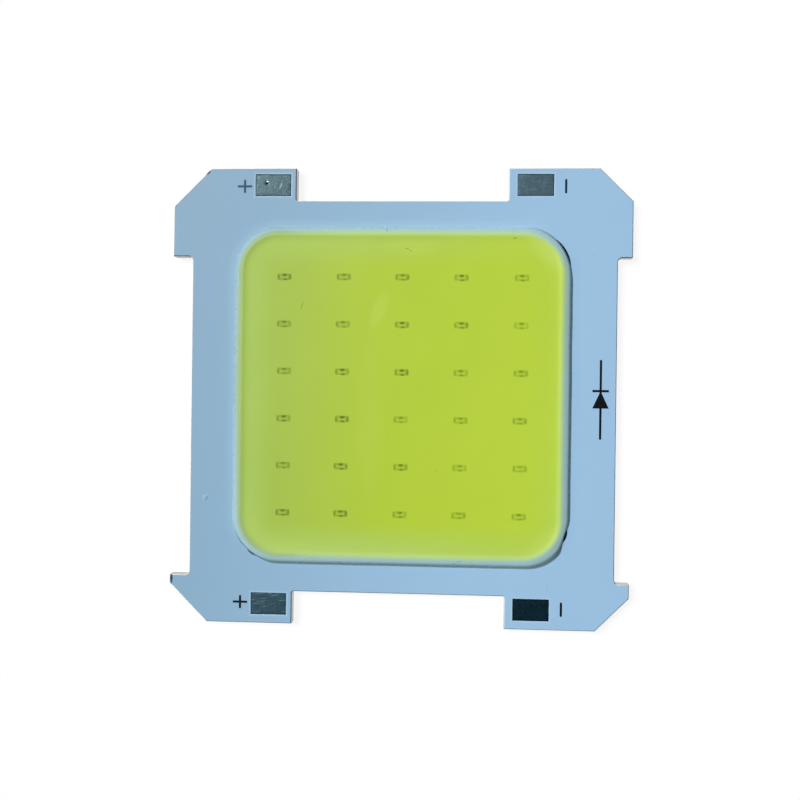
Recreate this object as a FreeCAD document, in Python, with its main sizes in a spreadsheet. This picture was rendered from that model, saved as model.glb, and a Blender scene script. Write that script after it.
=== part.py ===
import FreeCAD, Part
import math
import os
import Sketcher

# LED module on a square aluminium board with four ears.
# The origin is the centre of the back face, +X runs to the minus pads, +Y to the long ears and +Z
# out of the light-giving face. All sizes are in millimetres.

# The driving dimensions. The layout is worked out from the outside to the inside: the ears leave the
# body of the board, its rims leave the dam, and the field margin leaves the lattice of the chips.
# The ears of the plus side reach further out than those of the minus side, and the notches between the
# ears of an end lie a little towards the plus side.
DRIVING_SIZES = {
    "board_width": 40.2,
    "board_depth": 40.0,
    "plus_ear_reach": 1.73,
    "minus_ear_reach": 1.27,
    "end_ear_reach": 2.85,
    "long_ear_length": 7.75,
    "short_ear_length": 4.1,
    "chamfer_inset": 1.6,
    "end_notch_width": 18.6,
    "end_notch_shift": 0.13,
    "side_notch_radius": 0.4,
    "end_notch_radius": 0.2,
    "side_rim": 3.65,
    "end_rim": 2.2,
    "bead_width": 1.2,
    "bead_height": 0.65,
    "ring_corner_radius": 3.65,
    "fill_drop": 0.07,
    "field_margin": 3.99,
    "circuit_shift": 0.12,
    "chip_length": 1.15,
    "chip_width": 0.52,
    "chip_thickness": 0.15,
    "chip_standoff": 0.02,
    "joint_inset": 0.05,
    "joint_setback": 0.05,
    "plate_thickness": 1.0,
    "dielectric_thickness": 0.1,
    "copper_thickness": 0.07,
    "mask_cover": 0.05,
    "tin_drop": 0.02,
    "land_gap": 0.2,
    "land_edge_gap": 0.6,
    "land_margin": 0.25,
    "pad_length": 3.14,
    "pad_width": 1.9,
    "pad_side_gap": 0.61,
    "pad_end_gap": 0.64,
    "ink_thickness": 0.02,
    "ink_stroke": 0.19,
    "plus_width": 1.3,
    "plus_height": 1.18,
    "plus_offset": 0.95,
    "minus_height": 1.24,
    "minus_offset": 1.03,
    "sign_drop": 0.11,
    "symbol_length": 6.9,
    "symbol_width": 1.4,
    "symbol_edge_gap": 0.65,
    "symbol_body_length": 1.5,
}

COLUMNS = 5
ROWS = 6

# How far a cutting profile runs past the face that it opens, and the tolerance for finding a corner.
CUT_OVERRUN = 1.0
CORNER_TOLERANCE = 1e-4

# Levels above the back face.
DIELECTRIC_LEVEL = "Sizes.plate_thickness"
COPPER_LEVEL = f"{DIELECTRIC_LEVEL} + Sizes.dielectric_thickness"
TIN_LEVEL = f"{COPPER_LEVEL} + Sizes.copper_thickness"
MASK_THICKNESS = "Sizes.copper_thickness + Sizes.mask_cover"
FACE_LEVEL = f"{COPPER_LEVEL} + {MASK_THICKNESS}"
CHIP_LEVEL = f"{FACE_LEVEL} + Sizes.chip_standoff"
TIN_THICKNESS = "Sizes.mask_cover - Sizes.tin_drop"
JOINT_HEIGHT = "Sizes.mask_cover + Sizes.chip_standoff"
FILL_HEIGHT = "(Sizes.bead_height - Sizes.fill_drop)"

# Half sizes of the board's body between its ears, and where the middle of the body lies along X.
# Everything is drawn about the middle of the body.
BODY_X = "((Sizes.board_width - Sizes.plus_ear_reach - Sizes.minus_ear_reach) / 2)"
BODY_Y = "(Sizes.board_depth / 2 - Sizes.end_ear_reach)"
BODY_SHIFT = "(Sizes.plus_ear_reach - Sizes.minus_ear_reach) / 2"

# Outer edges and notches of the board.
PLUS_EDGE = f"-({BODY_X} + Sizes.plus_ear_reach)"
MINUS_EDGE = f"({BODY_X} + Sizes.minus_ear_reach)"
BOARD_Y = "(Sizes.board_depth / 2)"
NOTCH_X = "(Sizes.end_notch_width / 2)"
NOTCH_LEFT = f"-({NOTCH_X} + Sizes.end_notch_shift)"
NOTCH_RIGHT = f"({NOTCH_X} - Sizes.end_notch_shift)"
NOTCH_TOP = f"({BOARD_Y} - Sizes.long_ear_length)"
NOTCH_BOTTOM = f"-({BOARD_Y} - Sizes.short_ear_length)"

# Half sizes of the dam's centre line, and the pitches of the chip columns and rows.
RING_X = f"({BODY_X} - Sizes.side_rim - Sizes.bead_width / 2)"
RING_Y = f"({BODY_Y} - Sizes.end_rim - Sizes.bead_width / 2)"
PITCH_X = f"(2 * ({RING_X} - Sizes.field_margin) / {COLUMNS - 1})"
PITCH_Y = f"(2 * ({RING_Y} - Sizes.field_margin) / {ROWS - 1})"

# Centre of a solder pad in the circuit's own frame, and the centre height of the signs beside it.
PAD_X = f"({NOTCH_X} + Sizes.pad_side_gap + Sizes.pad_length / 2)"
PAD_Y = f"({BOARD_Y} - Sizes.pad_end_gap - Sizes.pad_width / 2)"
PAD_OUTER_X = f"({PAD_X} + Sizes.pad_length / 2)"
SIGN_Y = f"({PAD_Y} - Sizes.sign_drop)"

# Inner and outer ends of a chip's solder joint, measured from the middle of the chip.
JOINT_START = "(Sizes.land_gap / 2 + Sizes.joint_setback)"
JOINT_END = "(Sizes.chip_length / 2 - Sizes.joint_inset)"

document = FreeCAD.newDocument("LedModule")
subparts = []


def make_sheet():
    """Write the driving dimensions to a sheet, a name and an aliased number on each line."""
    sheet = document.addObject("Spreadsheet::Sheet", "Sizes")
    for line, (name, value) in enumerate(DRIVING_SIZES.items(), start=1):
        sheet.set(f"A{line}", name.replace("_", " "))
        sheet.set(f"B{line}", str(value))
        sheet.setAlias(f"B{line}", name)
    document.recompute()
    return sheet


sizes = make_sheet()


def measure(expression):
    """Value of an expression over the sheet, in millimetres."""
    result = sizes.evalExpression(expression)
    return float(getattr(result, "Value", result))


def place(item, x="0", y="0", level="0"):
    """Bind the position of an object, given from the middle of the board's body, to the sheet."""
    item.setExpression("Placement.Base.x", f"{x} + {BODY_SHIFT}")
    item.setExpression("Placement.Base.y", y)
    item.setExpression("Placement.Base.z", level)


def keep(item, label):
    """List an object as a sub-part under the label that names its file."""
    item.Label = label
    subparts.append(item)
    return item


def new_sketch(body, name, role="XY_Plane"):
    """Sketch on one of the body's own origin planes."""
    sketch = body.newObject("Sketcher::SketchObject", name)
    plane = next(feature for feature in body.Origin.OriginFeatures if feature.Role == role)
    sketch.AttachmentSupport = (plane, [""])
    sketch.MapMode = "FlatFace"
    return sketch


def bind(sketch, kind, *place_and_size):
    """Add a dimension to a sketch and bind it to the sheet; the last argument is its expression."""
    *geometry, expression = place_and_size
    number = sketch.addConstraint(Sketcher.Constraint(kind, *geometry, measure(expression)))
    sketch.setExpression(f"Constraints[{number}]", expression)


def bind_point(sketch, geometry, point, x, y):
    """Bind a point of the sketch to its distances from the sketch's origin."""
    bind(sketch, "DistanceX", -1, 1, geometry, point, x)
    bind(sketch, "DistanceY", -1, 1, geometry, point, y)


def draw_polygon(sketch, corners):
    """Closed outline through corners that are given as pairs of expressions."""
    first = sketch.GeometryCount
    points = [FreeCAD.Vector(measure(x), measure(y), 0) for x, y in corners]
    for start, end in zip(points, points[1:] + points[:1]):
        sketch.addGeometry(Part.LineSegment(start, end))
    for index, (x, y) in enumerate(corners):
        line = first + index
        following = first + (index + 1) % len(corners)
        sketch.addConstraint(Sketcher.Constraint("Coincident", line, 2, following, 1))
        bind_point(sketch, line, 1, x, y)


def draw_rectangle(sketch, left, right, bottom, top):
    """Upright rectangle between four expressions."""
    draw_polygon(sketch, [(left, bottom), (right, bottom), (right, top), (left, top)])


def draw_rounded_rectangle(sketch, half_x, half_y, radius):
    """Rectangle about the origin with an arc at each corner: four sides, then four arcs."""
    x, y, r = measure(half_x), measure(half_y), measure(radius)
    quarter = 90.0
    sides = [
        ((r - x, y), (x - r, y)),
        ((x, y - r), (x, r - y)),
        ((x - r, -y), (r - x, -y)),
        ((-x, r - y), (-x, y - r)),
    ]
    for start, end in sides:
        sketch.addGeometry(Part.LineSegment(FreeCAD.Vector(*start, 0), FreeCAD.Vector(*end, 0)))
    centres = [(x - r, y - r), (x - r, r - y), (r - x, r - y), (r - x, y - r)]
    for index, (centre_x, centre_y) in enumerate(centres):
        end_angle = quarter - index * quarter
        add_arc(sketch, FreeCAD.Vector(centre_x, centre_y, 0), r, end_angle - quarter, end_angle)
    for index in range(4):
        arc = 4 + index
        sketch.addConstraint(Sketcher.Constraint("Tangent", index, 2, arc, 2))
        sketch.addConstraint(Sketcher.Constraint("Tangent", arc, 1, (index + 1) % 4, 1))
        direction = "Vertical" if index % 2 else "Horizontal"
        sketch.addConstraint(Sketcher.Constraint(direction, index))
    for index in range(1, 4):
        sketch.addConstraint(Sketcher.Constraint("Equal", 4, 4 + index))
    bind(sketch, "Radius", 4, radius)
    bind(sketch, "DistanceY", -1, 1, 0, 1, half_y)
    bind(sketch, "DistanceX", -1, 1, 1, 1, half_x)
    bind(sketch, "DistanceY", -1, 1, 2, 1, f"-{half_y}")
    bind(sketch, "DistanceX", -1, 1, 3, 1, f"-{half_x}")


def add_arc(sketch, centre, radius, start_angle, end_angle):
    """Add an arc that runs the left-hand way round from one angle to the other, in degrees."""
    circle = Part.Circle(centre, FreeCAD.Vector(0, 0, 1), radius)
    sketch.addGeometry(Part.ArcOfCircle(circle, math.radians(start_angle), math.radians(end_angle)))


def draw_stroke(sketch, half_length, upright):
    """Ink stroke about the origin: two sides and two round ends, as wide as the pen."""
    reach = measure(f"{half_length} - Sizes.ink_stroke / 2")
    r = measure("Sizes.ink_stroke / 2")
    turn = 90.0 if upright else 0.0
    rotation = FreeCAD.Rotation(FreeCAD.Vector(0, 0, 1), turn)
    corners = [(-reach, -r), (reach, -r), (reach, r), (-reach, r)]
    points = [rotation.multVec(FreeCAD.Vector(x, y, 0)) for x, y in corners]
    near, far = [rotation.multVec(FreeCAD.Vector(side * reach, 0, 0)) for side in (1, -1)]
    first = sketch.GeometryCount
    sketch.addGeometry(Part.LineSegment(points[0], points[1]))
    add_arc(sketch, near, r, turn - 90, turn + 90)
    sketch.addGeometry(Part.LineSegment(points[2], points[3]))
    add_arc(sketch, far, r, turn + 90, turn + 270)
    for index in range(4):
        item = first + index
        following = first + (index + 1) % 4
        sketch.addConstraint(Sketcher.Constraint("Tangent", item, 2, following, 1))
    along = f"({half_length} - Sizes.ink_stroke / 2)"
    for arc, expression in ((first + 1, along), (first + 3, f"-{along}")):
        x, y = ("0", expression) if upright else (expression, "0")
        bind_point(sketch, arc, 3, x, y)
    bind(sketch, "Radius", first + 1, "Sizes.ink_stroke / 2")


def new_pad(body, sketch, length):
    """Extrude a sketch upwards by an expression."""
    pad = body.newObject("PartDesign::Pad", f"{sketch.Name}_pad")
    pad.Profile = sketch
    pad.setExpression("Length", length)
    document.recompute()
    return pad


def upright_edges(feature, corners):
    """Names of the upright edges of a feature that stand at the given corners."""
    wanted = [FreeCAD.Vector(measure(x), measure(y), 0) for x, y in corners]
    names = []
    for number, edge in enumerate(feature.Shape.Edges, start=1):
        ends = [FreeCAD.Vector(vertex.X, vertex.Y, 0) for vertex in edge.Vertexes]
        if ends[0].distanceToPoint(ends[-1]) > CORNER_TOLERANCE:
            continue
        if min(ends[0].distanceToPoint(corner) for corner in wanted) < CORNER_TOLERANCE:
            names.append(f"Edge{number}")
    if len(names) != len(corners):
        raise RuntimeError(f"{feature.Name}: {len(names)} edges found for {len(corners)} corners")
    return names


def new_fillet(body, name, corners, radius):
    """Round the upright edges of the body's last feature at the given corners."""
    fillet = body.newObject("PartDesign::Fillet", name)
    base = body.Group[-2]
    fillet.Base = (base, upright_edges(base, corners))
    fillet.setExpression("Radius", radius)
    document.recompute()
    return fillet


def board_layer(label, level, thickness):
    """One layer of the board: a plate with chamfered corners and a notch in the middle of each side."""
    body = document.addObject("PartDesign::Body", label)
    blank = new_sketch(body, f"{label}_blank")
    draw_rectangle(blank, PLUS_EDGE, MINUS_EDGE, f"-{BOARD_Y}", BOARD_Y)
    new_pad(body, blank, thickness)
    for pole, edge in (("plus", PLUS_EDGE), ("minus", MINUS_EDGE)):
        chamfer = body.newObject("PartDesign::Chamfer", f"{label}_{pole}_ear_chamfers")
        base = body.Group[-2]
        chamfer.Base = (base, upright_edges(base, [(edge, BOARD_Y), (edge, f"-{BOARD_Y}")]))
        chamfer.setExpression("Size", f"Sizes.{pole}_ear_reach + Sizes.chamfer_inset")
        document.recompute()
    full_volume = body.Shape.Volume

    notches = new_sketch(body, f"{label}_notches")
    beyond_y = f"({BOARD_Y} + {CUT_OVERRUN})"
    draw_rectangle(notches, NOTCH_LEFT, NOTCH_RIGHT, BODY_Y, beyond_y)
    draw_rectangle(notches, NOTCH_LEFT, NOTCH_RIGHT, f"-{beyond_y}", f"-{BODY_Y}")
    draw_rectangle(notches, BODY_X, f"{MINUS_EDGE} + {CUT_OVERRUN}", NOTCH_BOTTOM, NOTCH_TOP)
    draw_rectangle(notches, f"{PLUS_EDGE} - {CUT_OVERRUN}", f"-{BODY_X}", NOTCH_BOTTOM, NOTCH_TOP)
    pocket = body.newObject("PartDesign::Pocket", f"{label}_notch_pocket")
    pocket.Profile = notches
    pocket.Type = "ThroughAll"
    pocket.Reversed = True
    document.recompute()
    if body.Shape.Volume >= full_volume:
        raise RuntimeError(f"{label}: the notches cut nothing")

    end_corners = [(x, f"{sign}{BODY_Y}") for x in (NOTCH_LEFT, NOTCH_RIGHT) for sign in ("", "-")]
    side_corners = [(f"{sx}{BODY_X}", end) for sx in ("", "-") for end in (NOTCH_TOP, NOTCH_BOTTOM)]
    new_fillet(body, f"{label}_end_notch_fillets", end_corners, "Sizes.end_notch_radius")
    new_fillet(body, f"{label}_side_notch_fillets", side_corners, "Sizes.side_notch_radius")
    place(body, level=level)
    return body


def new_box(name, size_x, size_y, size_z, x, y, level):
    """Box whose sizes and lowest corner are bound to the sheet."""
    box = document.addObject("Part::Box", name)
    box.setExpression("Length", size_x)
    box.setExpression("Width", size_y)
    box.setExpression("Height", size_z)
    place(box, x, y, level)
    return box


def new_compound(name, items):
    """Group of separate solids."""
    compound = document.addObject("Part::Compound", name)
    compound.Links = items
    return compound


def cut(name, base, tool):
    """Base without the tool's volume."""
    result = document.addObject("Part::Cut", name)
    result.Base = base
    result.Tool = tool
    document.recompute()
    return result


def column_x(column):
    """Expression for the middle of a chip column, the first at the plus side."""
    return f"{column - (COLUMNS - 1) / 2} * {PITCH_X}"


def row_y(row):
    """Expression for the middle of a chip row, the first at the long ears, in the board's frame."""
    return f"({(ROWS - 1) / 2 - row} * {PITCH_Y} + Sizes.circuit_shift)"


def make_chips():
    """Thirty chips in five columns and six rows, each with its long side along X."""
    chips = []
    for row in range(ROWS):
        for column in range(COLUMNS):
            chip = new_box(
                f"chip_{row + 1}_{column + 1}",
                "Sizes.chip_length",
                "Sizes.chip_width",
                "Sizes.chip_thickness",
                f"{column_x(column)} - Sizes.chip_length / 2",
                f"{row_y(row)} - Sizes.chip_width / 2",
                CHIP_LEVEL,
            )
            chips.append(keep(chip, f"led_chip_r{row + 1}_c{column + 1}"))
    return chips


def make_joint(row, column, side):
    """Solder joint under one end of a chip, inside the chip's outline and on its own land."""
    start = f"- {JOINT_END}" if side == "plus" else f"+ {JOINT_START}"
    width = "(Sizes.chip_width - 2 * Sizes.joint_inset)"
    return new_box(
        f"joint_{row + 1}_{column + 1}_{side}",
        f"{JOINT_END} - {JOINT_START}",
        width,
        JOINT_HEIGHT,
        f"{column_x(column)} {start}",
        f"{row_y(row)} - {width} / 2",
        TIN_LEVEL,
    )


def make_joint_rows():
    """Two joints under each chip, a group for each row."""
    places = [(column, side) for column in range(COLUMNS) for side in ("plus", "minus")]
    groups = []
    for row in range(ROWS):
        joints = [make_joint(row, column, side) for column, side in places]
        group = new_compound(f"joints_{row + 1}", joints)
        groups.append(keep(group, f"chip_solder_row_{row + 1}"))
    return groups


def make_outer_land(label, sign):
    """Copper land of one pole: a strip beside the chips, with a tab under each of its two pads."""
    body = document.addObject("PartDesign::Body", label)
    outline = new_sketch(body, f"{label}_outline")
    outer_x = f"{sign}({BODY_X} - Sizes.land_edge_gap)"
    inner_x = f"{sign}({RING_X} - Sizes.field_margin + Sizes.land_gap / 2)"
    tab_outer_x = f"{sign}({PAD_OUTER_X} + Sizes.land_margin)"
    tab_inner_x = f"{sign}({NOTCH_X} + Sizes.pad_side_gap - Sizes.land_margin)"
    strip_y = f"({BODY_Y} - Sizes.land_edge_gap)"
    tab_low_y = f"({PAD_Y} - Sizes.pad_width / 2 - Sizes.land_margin)"
    tab_high_y = f"({PAD_Y} + Sizes.pad_width / 2 + Sizes.land_margin)"
    upper = [
        (outer_x, strip_y),
        (tab_outer_x, strip_y),
        (tab_outer_x, tab_high_y),
        (tab_inner_x, tab_high_y),
        (tab_inner_x, tab_low_y),
        (inner_x, tab_low_y),
    ]
    lower = [(x, f"-{y}") for x, y in reversed(upper)]
    draw_polygon(outline, upper + lower)
    new_pad(body, outline, "Sizes.copper_thickness")
    place(body, y="Sizes.circuit_shift", level=COPPER_LEVEL)
    return keep(body, label)


def make_inner_land(number):
    """Copper land from one chip column to the next, as long as the dam is outside."""
    half_length = f"({RING_Y} + Sizes.bead_width / 2)"
    land = new_box(
        f"land_{number}",
        f"{PITCH_X} - Sizes.land_gap",
        f"2 * {half_length}",
        "Sizes.copper_thickness",
        f"{column_x(number - 1)} + Sizes.land_gap / 2",
        f"Sizes.circuit_shift - {half_length}",
        COPPER_LEVEL,
    )
    return keep(land, f"copper_land_{number}")


def make_lands():
    """Six lands that put the chips of a row in series and the rows side by side."""
    lands = [make_outer_land("copper_land_plus", "-")]
    lands += [make_inner_land(number) for number in range(1, COLUMNS)]
    lands.append(make_outer_land("copper_land_minus", "+"))
    return lands


def pad_box(name, pole, end, thickness):
    """Box on the footprint of one solder pad."""
    centre_x = f"-{PAD_X}" if pole == "plus" else PAD_X
    centre_y = f"({PAD_Y} + Sizes.circuit_shift)" if end == "top" else f"(Sizes.circuit_shift - {PAD_Y})"
    return new_box(
        name,
        "Sizes.pad_length",
        "Sizes.pad_width",
        thickness,
        f"{centre_x} - Sizes.pad_length / 2",
        f"{centre_y} - Sizes.pad_width / 2",
        TIN_LEVEL,
    )


def make_pads():
    """Four tinned solder pads, and the window in the mask over each of them."""
    windows = []
    for pole in ("plus", "minus"):
        for end in ("top", "bottom"):
            keep(pad_box(f"tin_{pole}_{end}", pole, end, TIN_THICKNESS), f"solder_pad_{pole}_{end}")
            windows.append(pad_box(f"window_{pole}_{end}", pole, end, "Sizes.mask_cover"))
    return windows


def make_mask(lands, joint_rows, pad_windows):
    """White printed layer: fills between the lands, covers them and leaves the windows open."""
    blank = board_layer("mask_blank", COPPER_LEVEL, MASK_THICKNESS)
    over_lands = cut("mask_over_lands", blank, new_compound("all_lands", lands))
    windows = new_compound("mask_windows", joint_rows + pad_windows)
    return keep(cut("mask", over_lands, windows), "solder_mask")


def make_dam():
    """Silicone bead laid on the mask: a round-topped section carried along a rounded square."""
    body = document.addObject("PartDesign::Body", "dam")
    path = new_sketch(body, "dam_path")
    draw_rounded_rectangle(path, RING_X, RING_Y, "Sizes.ring_corner_radius")

    # The section is an arc over a chord, as wide and as high as the bead.
    section = new_sketch(body, "dam_section", "YZ_Plane")
    left, right = f"({RING_Y} - Sizes.bead_width / 2)", f"({RING_Y} + Sizes.bead_width / 2)"
    radius = "((Sizes.bead_width / 2)^2 + Sizes.bead_height^2) / (2 * Sizes.bead_height)"
    start, crown, end = (
        FreeCAD.Vector(measure(across), measure(up), 0)
        for across, up in ((left, "0"), (RING_Y, "Sizes.bead_height"), (right, "0"))
    )
    section.addGeometry(Part.Arc(start, crown, end))
    arc_start, arc_end = (1, 2) if section.getPoint(0, 1).x < section.getPoint(0, 2).x else (2, 1)
    section.addGeometry(Part.LineSegment(start, end))
    section.addConstraint(Sketcher.Constraint("Coincident", 0, arc_start, 1, 1))
    section.addConstraint(Sketcher.Constraint("Coincident", 0, arc_end, 1, 2))
    bind_point(section, 1, 1, left, "0")
    bind(section, "DistanceX", -1, 1, 1, 2, right)
    section.addConstraint(Sketcher.Constraint("PointOnObject", 1, 2, -1))
    bind(section, "Radius", 0, radius)

    pipe = body.newObject("PartDesign::AdditivePipe", "dam_bead")
    pipe.Profile = section
    pipe.Spine = (path, [])
    document.recompute()
    place(body, y="Sizes.circuit_shift", level=FACE_LEVEL)
    return keep(body, "dam_ring")


def make_fill(dam, chips, joint_rows):
    """Phosphor silicone poured inside the dam, round the chips and their joints."""
    body = document.addObject("PartDesign::Body", "fill_blank")
    outline = new_sketch(body, "fill_outline")
    draw_rounded_rectangle(outline, RING_X, RING_Y, "Sizes.ring_corner_radius")
    new_pad(body, outline, FILL_HEIGHT)
    place(body, y="Sizes.circuit_shift", level=FACE_LEVEL)
    inside_dam = cut("fill_inside_dam", body, dam)
    round_chips = cut("fill_round_chips", inside_dam, new_compound("all_chips", chips))
    fill = cut("fill", round_chips, new_compound("all_joints", joint_rows))
    return keep(fill, "phosphor_fill")


def make_stroke(body, name, half_length, upright):
    """Add one ink stroke to a printed sign."""
    sketch = new_sketch(body, name)
    draw_stroke(sketch, half_length, upright)
    new_pad(body, sketch, "Sizes.ink_thickness")


def make_sign(pole, end):
    """Printed sign beside a solder pad: a cross for plus, one upright stroke for minus."""
    label = f"{pole}_sign_{end}"
    body = document.addObject("PartDesign::Body", label)
    if pole == "plus":
        make_stroke(body, f"{label}_level", "(Sizes.plus_width / 2)", upright=False)
    make_stroke(body, f"{label}_upright", f"(Sizes.{pole}_height / 2)", upright=True)
    centre_x = f"({PAD_OUTER_X} + Sizes.{pole}_offset)"
    x = f"-{centre_x}" if pole == "plus" else centre_x
    y = f"{SIGN_Y} + Sizes.circuit_shift" if end == "top" else f"Sizes.circuit_shift - {SIGN_Y}"
    place(body, x, y, FACE_LEVEL)
    return keep(body, label)


def make_diode_symbol():
    """Printed diode symbol along the minus side: a lead, a triangle that points up and a bar."""
    body = document.addObject("PartDesign::Body", "symbol")
    make_stroke(body, "symbol_lead", "(Sizes.symbol_length / 2)", upright=True)

    half_body = "(Sizes.symbol_body_length / 2)"
    half_width = "(Sizes.symbol_width / 2)"
    triangle = new_sketch(body, "symbol_triangle")
    base_y = f"-{half_body}"
    draw_polygon(triangle, [(f"-{half_width}", base_y), (half_width, base_y), ("0", half_body)])
    new_pad(body, triangle, "Sizes.ink_thickness")

    bar = new_sketch(body, "symbol_bar")
    bar_low, bar_high = f"{half_body} - Sizes.ink_stroke / 2", f"{half_body} + Sizes.ink_stroke / 2"
    draw_rectangle(bar, f"-{half_width}", half_width, bar_low, bar_high)
    new_pad(body, bar, "Sizes.ink_thickness")
    place(body, f"{BODY_X} - Sizes.symbol_edge_gap - {half_width}", "0", FACE_LEVEL)
    return keep(body, "diode_symbol")


def check_and_write():
    """Stop on any failed object or bad shape, then write a file for each sub-part."""
    document.recompute()
    for item in document.Objects:
        if {"Invalid", "Error"} & set(item.State):
            raise RuntimeError(f"{item.Label}: {item.State}")
    for item in subparts:
        if item.Shape.isNull() or not item.Shape.isValid() or not item.Shape.Solids:
            raise RuntimeError(f"{item.Label}: bad shape")
    os.makedirs("parts", exist_ok=True)
    for item in subparts:
        item.Shape.exportStep(f"parts/{item.Label}.step")
        print(item.Label, len(item.Shape.Solids), f"{item.Shape.Volume:.4f}")


keep(board_layer("plate", "0", "Sizes.plate_thickness"), "base_plate")
keep(board_layer("dielectric", DIELECTRIC_LEVEL, "Sizes.dielectric_thickness"), "dielectric_layer")
copper_lands = make_lands()
led_chips = make_chips()
chip_joints = make_joint_rows()
make_mask(copper_lands, chip_joints, make_pads())
make_fill(make_dam(), led_chips, chip_joints)
for sign_pole in ("plus", "minus"):
    for sign_end in ("top", "bottom"):
        make_sign(sign_pole, sign_end)
make_diode_symbol()
check_and_write()
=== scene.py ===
"""Studio scene of a chip-on-board LED module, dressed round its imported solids.

The module lies on a pale floor and is seen from almost straight above. The classes hold their sizes in
millimetres, measured as on the real module, and make_object turns a finished form into metres.
"""

import logging
import math
from collections.abc import Callable, Iterable, Sequence
from dataclasses import dataclass, field
from enum import Enum

import bmesh
import bpy
from mathutils import Matrix, Quaternion, Vector, noise


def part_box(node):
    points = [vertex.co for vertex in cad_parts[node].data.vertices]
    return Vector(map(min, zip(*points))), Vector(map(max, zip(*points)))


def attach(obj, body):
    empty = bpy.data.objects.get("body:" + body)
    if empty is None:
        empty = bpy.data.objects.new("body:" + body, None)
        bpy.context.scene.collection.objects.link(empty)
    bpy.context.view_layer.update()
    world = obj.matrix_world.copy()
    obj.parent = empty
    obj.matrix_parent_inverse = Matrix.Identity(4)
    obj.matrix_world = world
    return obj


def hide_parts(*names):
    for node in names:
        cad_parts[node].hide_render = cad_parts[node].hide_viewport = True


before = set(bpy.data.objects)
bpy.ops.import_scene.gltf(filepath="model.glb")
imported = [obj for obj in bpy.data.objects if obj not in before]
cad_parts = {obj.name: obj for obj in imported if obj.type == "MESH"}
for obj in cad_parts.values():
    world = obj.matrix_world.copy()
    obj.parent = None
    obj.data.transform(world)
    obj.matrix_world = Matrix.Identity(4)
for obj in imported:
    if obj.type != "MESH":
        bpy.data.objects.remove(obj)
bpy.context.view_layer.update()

log = logging.getLogger("led_module")

MM = 0.001
BODY = "root"

# Points of a copied solid that lie closer than this are one point, and faces within this angle are flat.
MERGE_DISTANCE = 1e-4
FLAT_ANGLE = math.radians(0.5)

Colour = tuple[float, float, float, float]


def srgb(red: float, green: float, blue: float, gloss: float = 0.0) -> Colour:
    """Linear colour of a screen colour.

    Args:
        red: Red on the screen's scale of 0 to 255.
        green: Green on the same scale.
        blue: Blue on the same scale.
        gloss: Share of the white surroundings that the surface mirrors on top of its own colour.

    Returns:
        The colour as light, less what the gloss adds, with an alpha of 1.
    """

    def light(value: float) -> float:
        """Share of full light that one channel stands for."""
        share = value / 255
        return share / 12.92 if share <= 0.04045 else ((share + 0.055) / 1.055) ** 2.4

    own = [max((light(value) - gloss) / (1 - gloss), 0.0) for value in (red, green, blue)]
    return (*own, 1.0)


def seen(red: float, green: float, blue: float, gloss: float = 0.04) -> Colour:
    """Base colour that a lit and slightly glossy surface needs to be seen in a screen colour."""
    return srgb(red, green, blue, gloss)


class Pole(Enum):
    """Electrical side of the module."""

    PLUS = "plus"
    MINUS = "minus"


class End(Enum):
    """End of the module: the long ears are at the top, the short ones at the bottom."""

    TOP = "top"
    BOTTOM = "bottom"


class Effect(Enum):
    """Surface effects that several finishes share as node groups."""

    GRAIN = "surface_grain"
    DRIFT = "colour_drift"
    SCRATCHES = "fine_scratches"
    RING = "dam_distance"


@dataclass(frozen=True)
class Extent:
    """Lowest and highest corner of a CAD node, in millimetres."""

    low: Vector
    high: Vector

    @classmethod
    def of(cls, node: str) -> "Extent":
        """Extent of the CAD node with that name."""
        low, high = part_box(node)
        return cls(low / MM, high / MM)

    @property
    def centre(self) -> Vector:
        """Middle of the extent."""
        return (self.low + self.high) / 2

    @property
    def half(self) -> Vector:
        """Half sizes of the extent."""
        return (self.high - self.low) / 2


def pad_node(pole: Pole, end: End) -> str:
    """Name of the CAD node of a solder pad."""
    return f"solder_pad_{pole.value}_{end.value}"


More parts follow.
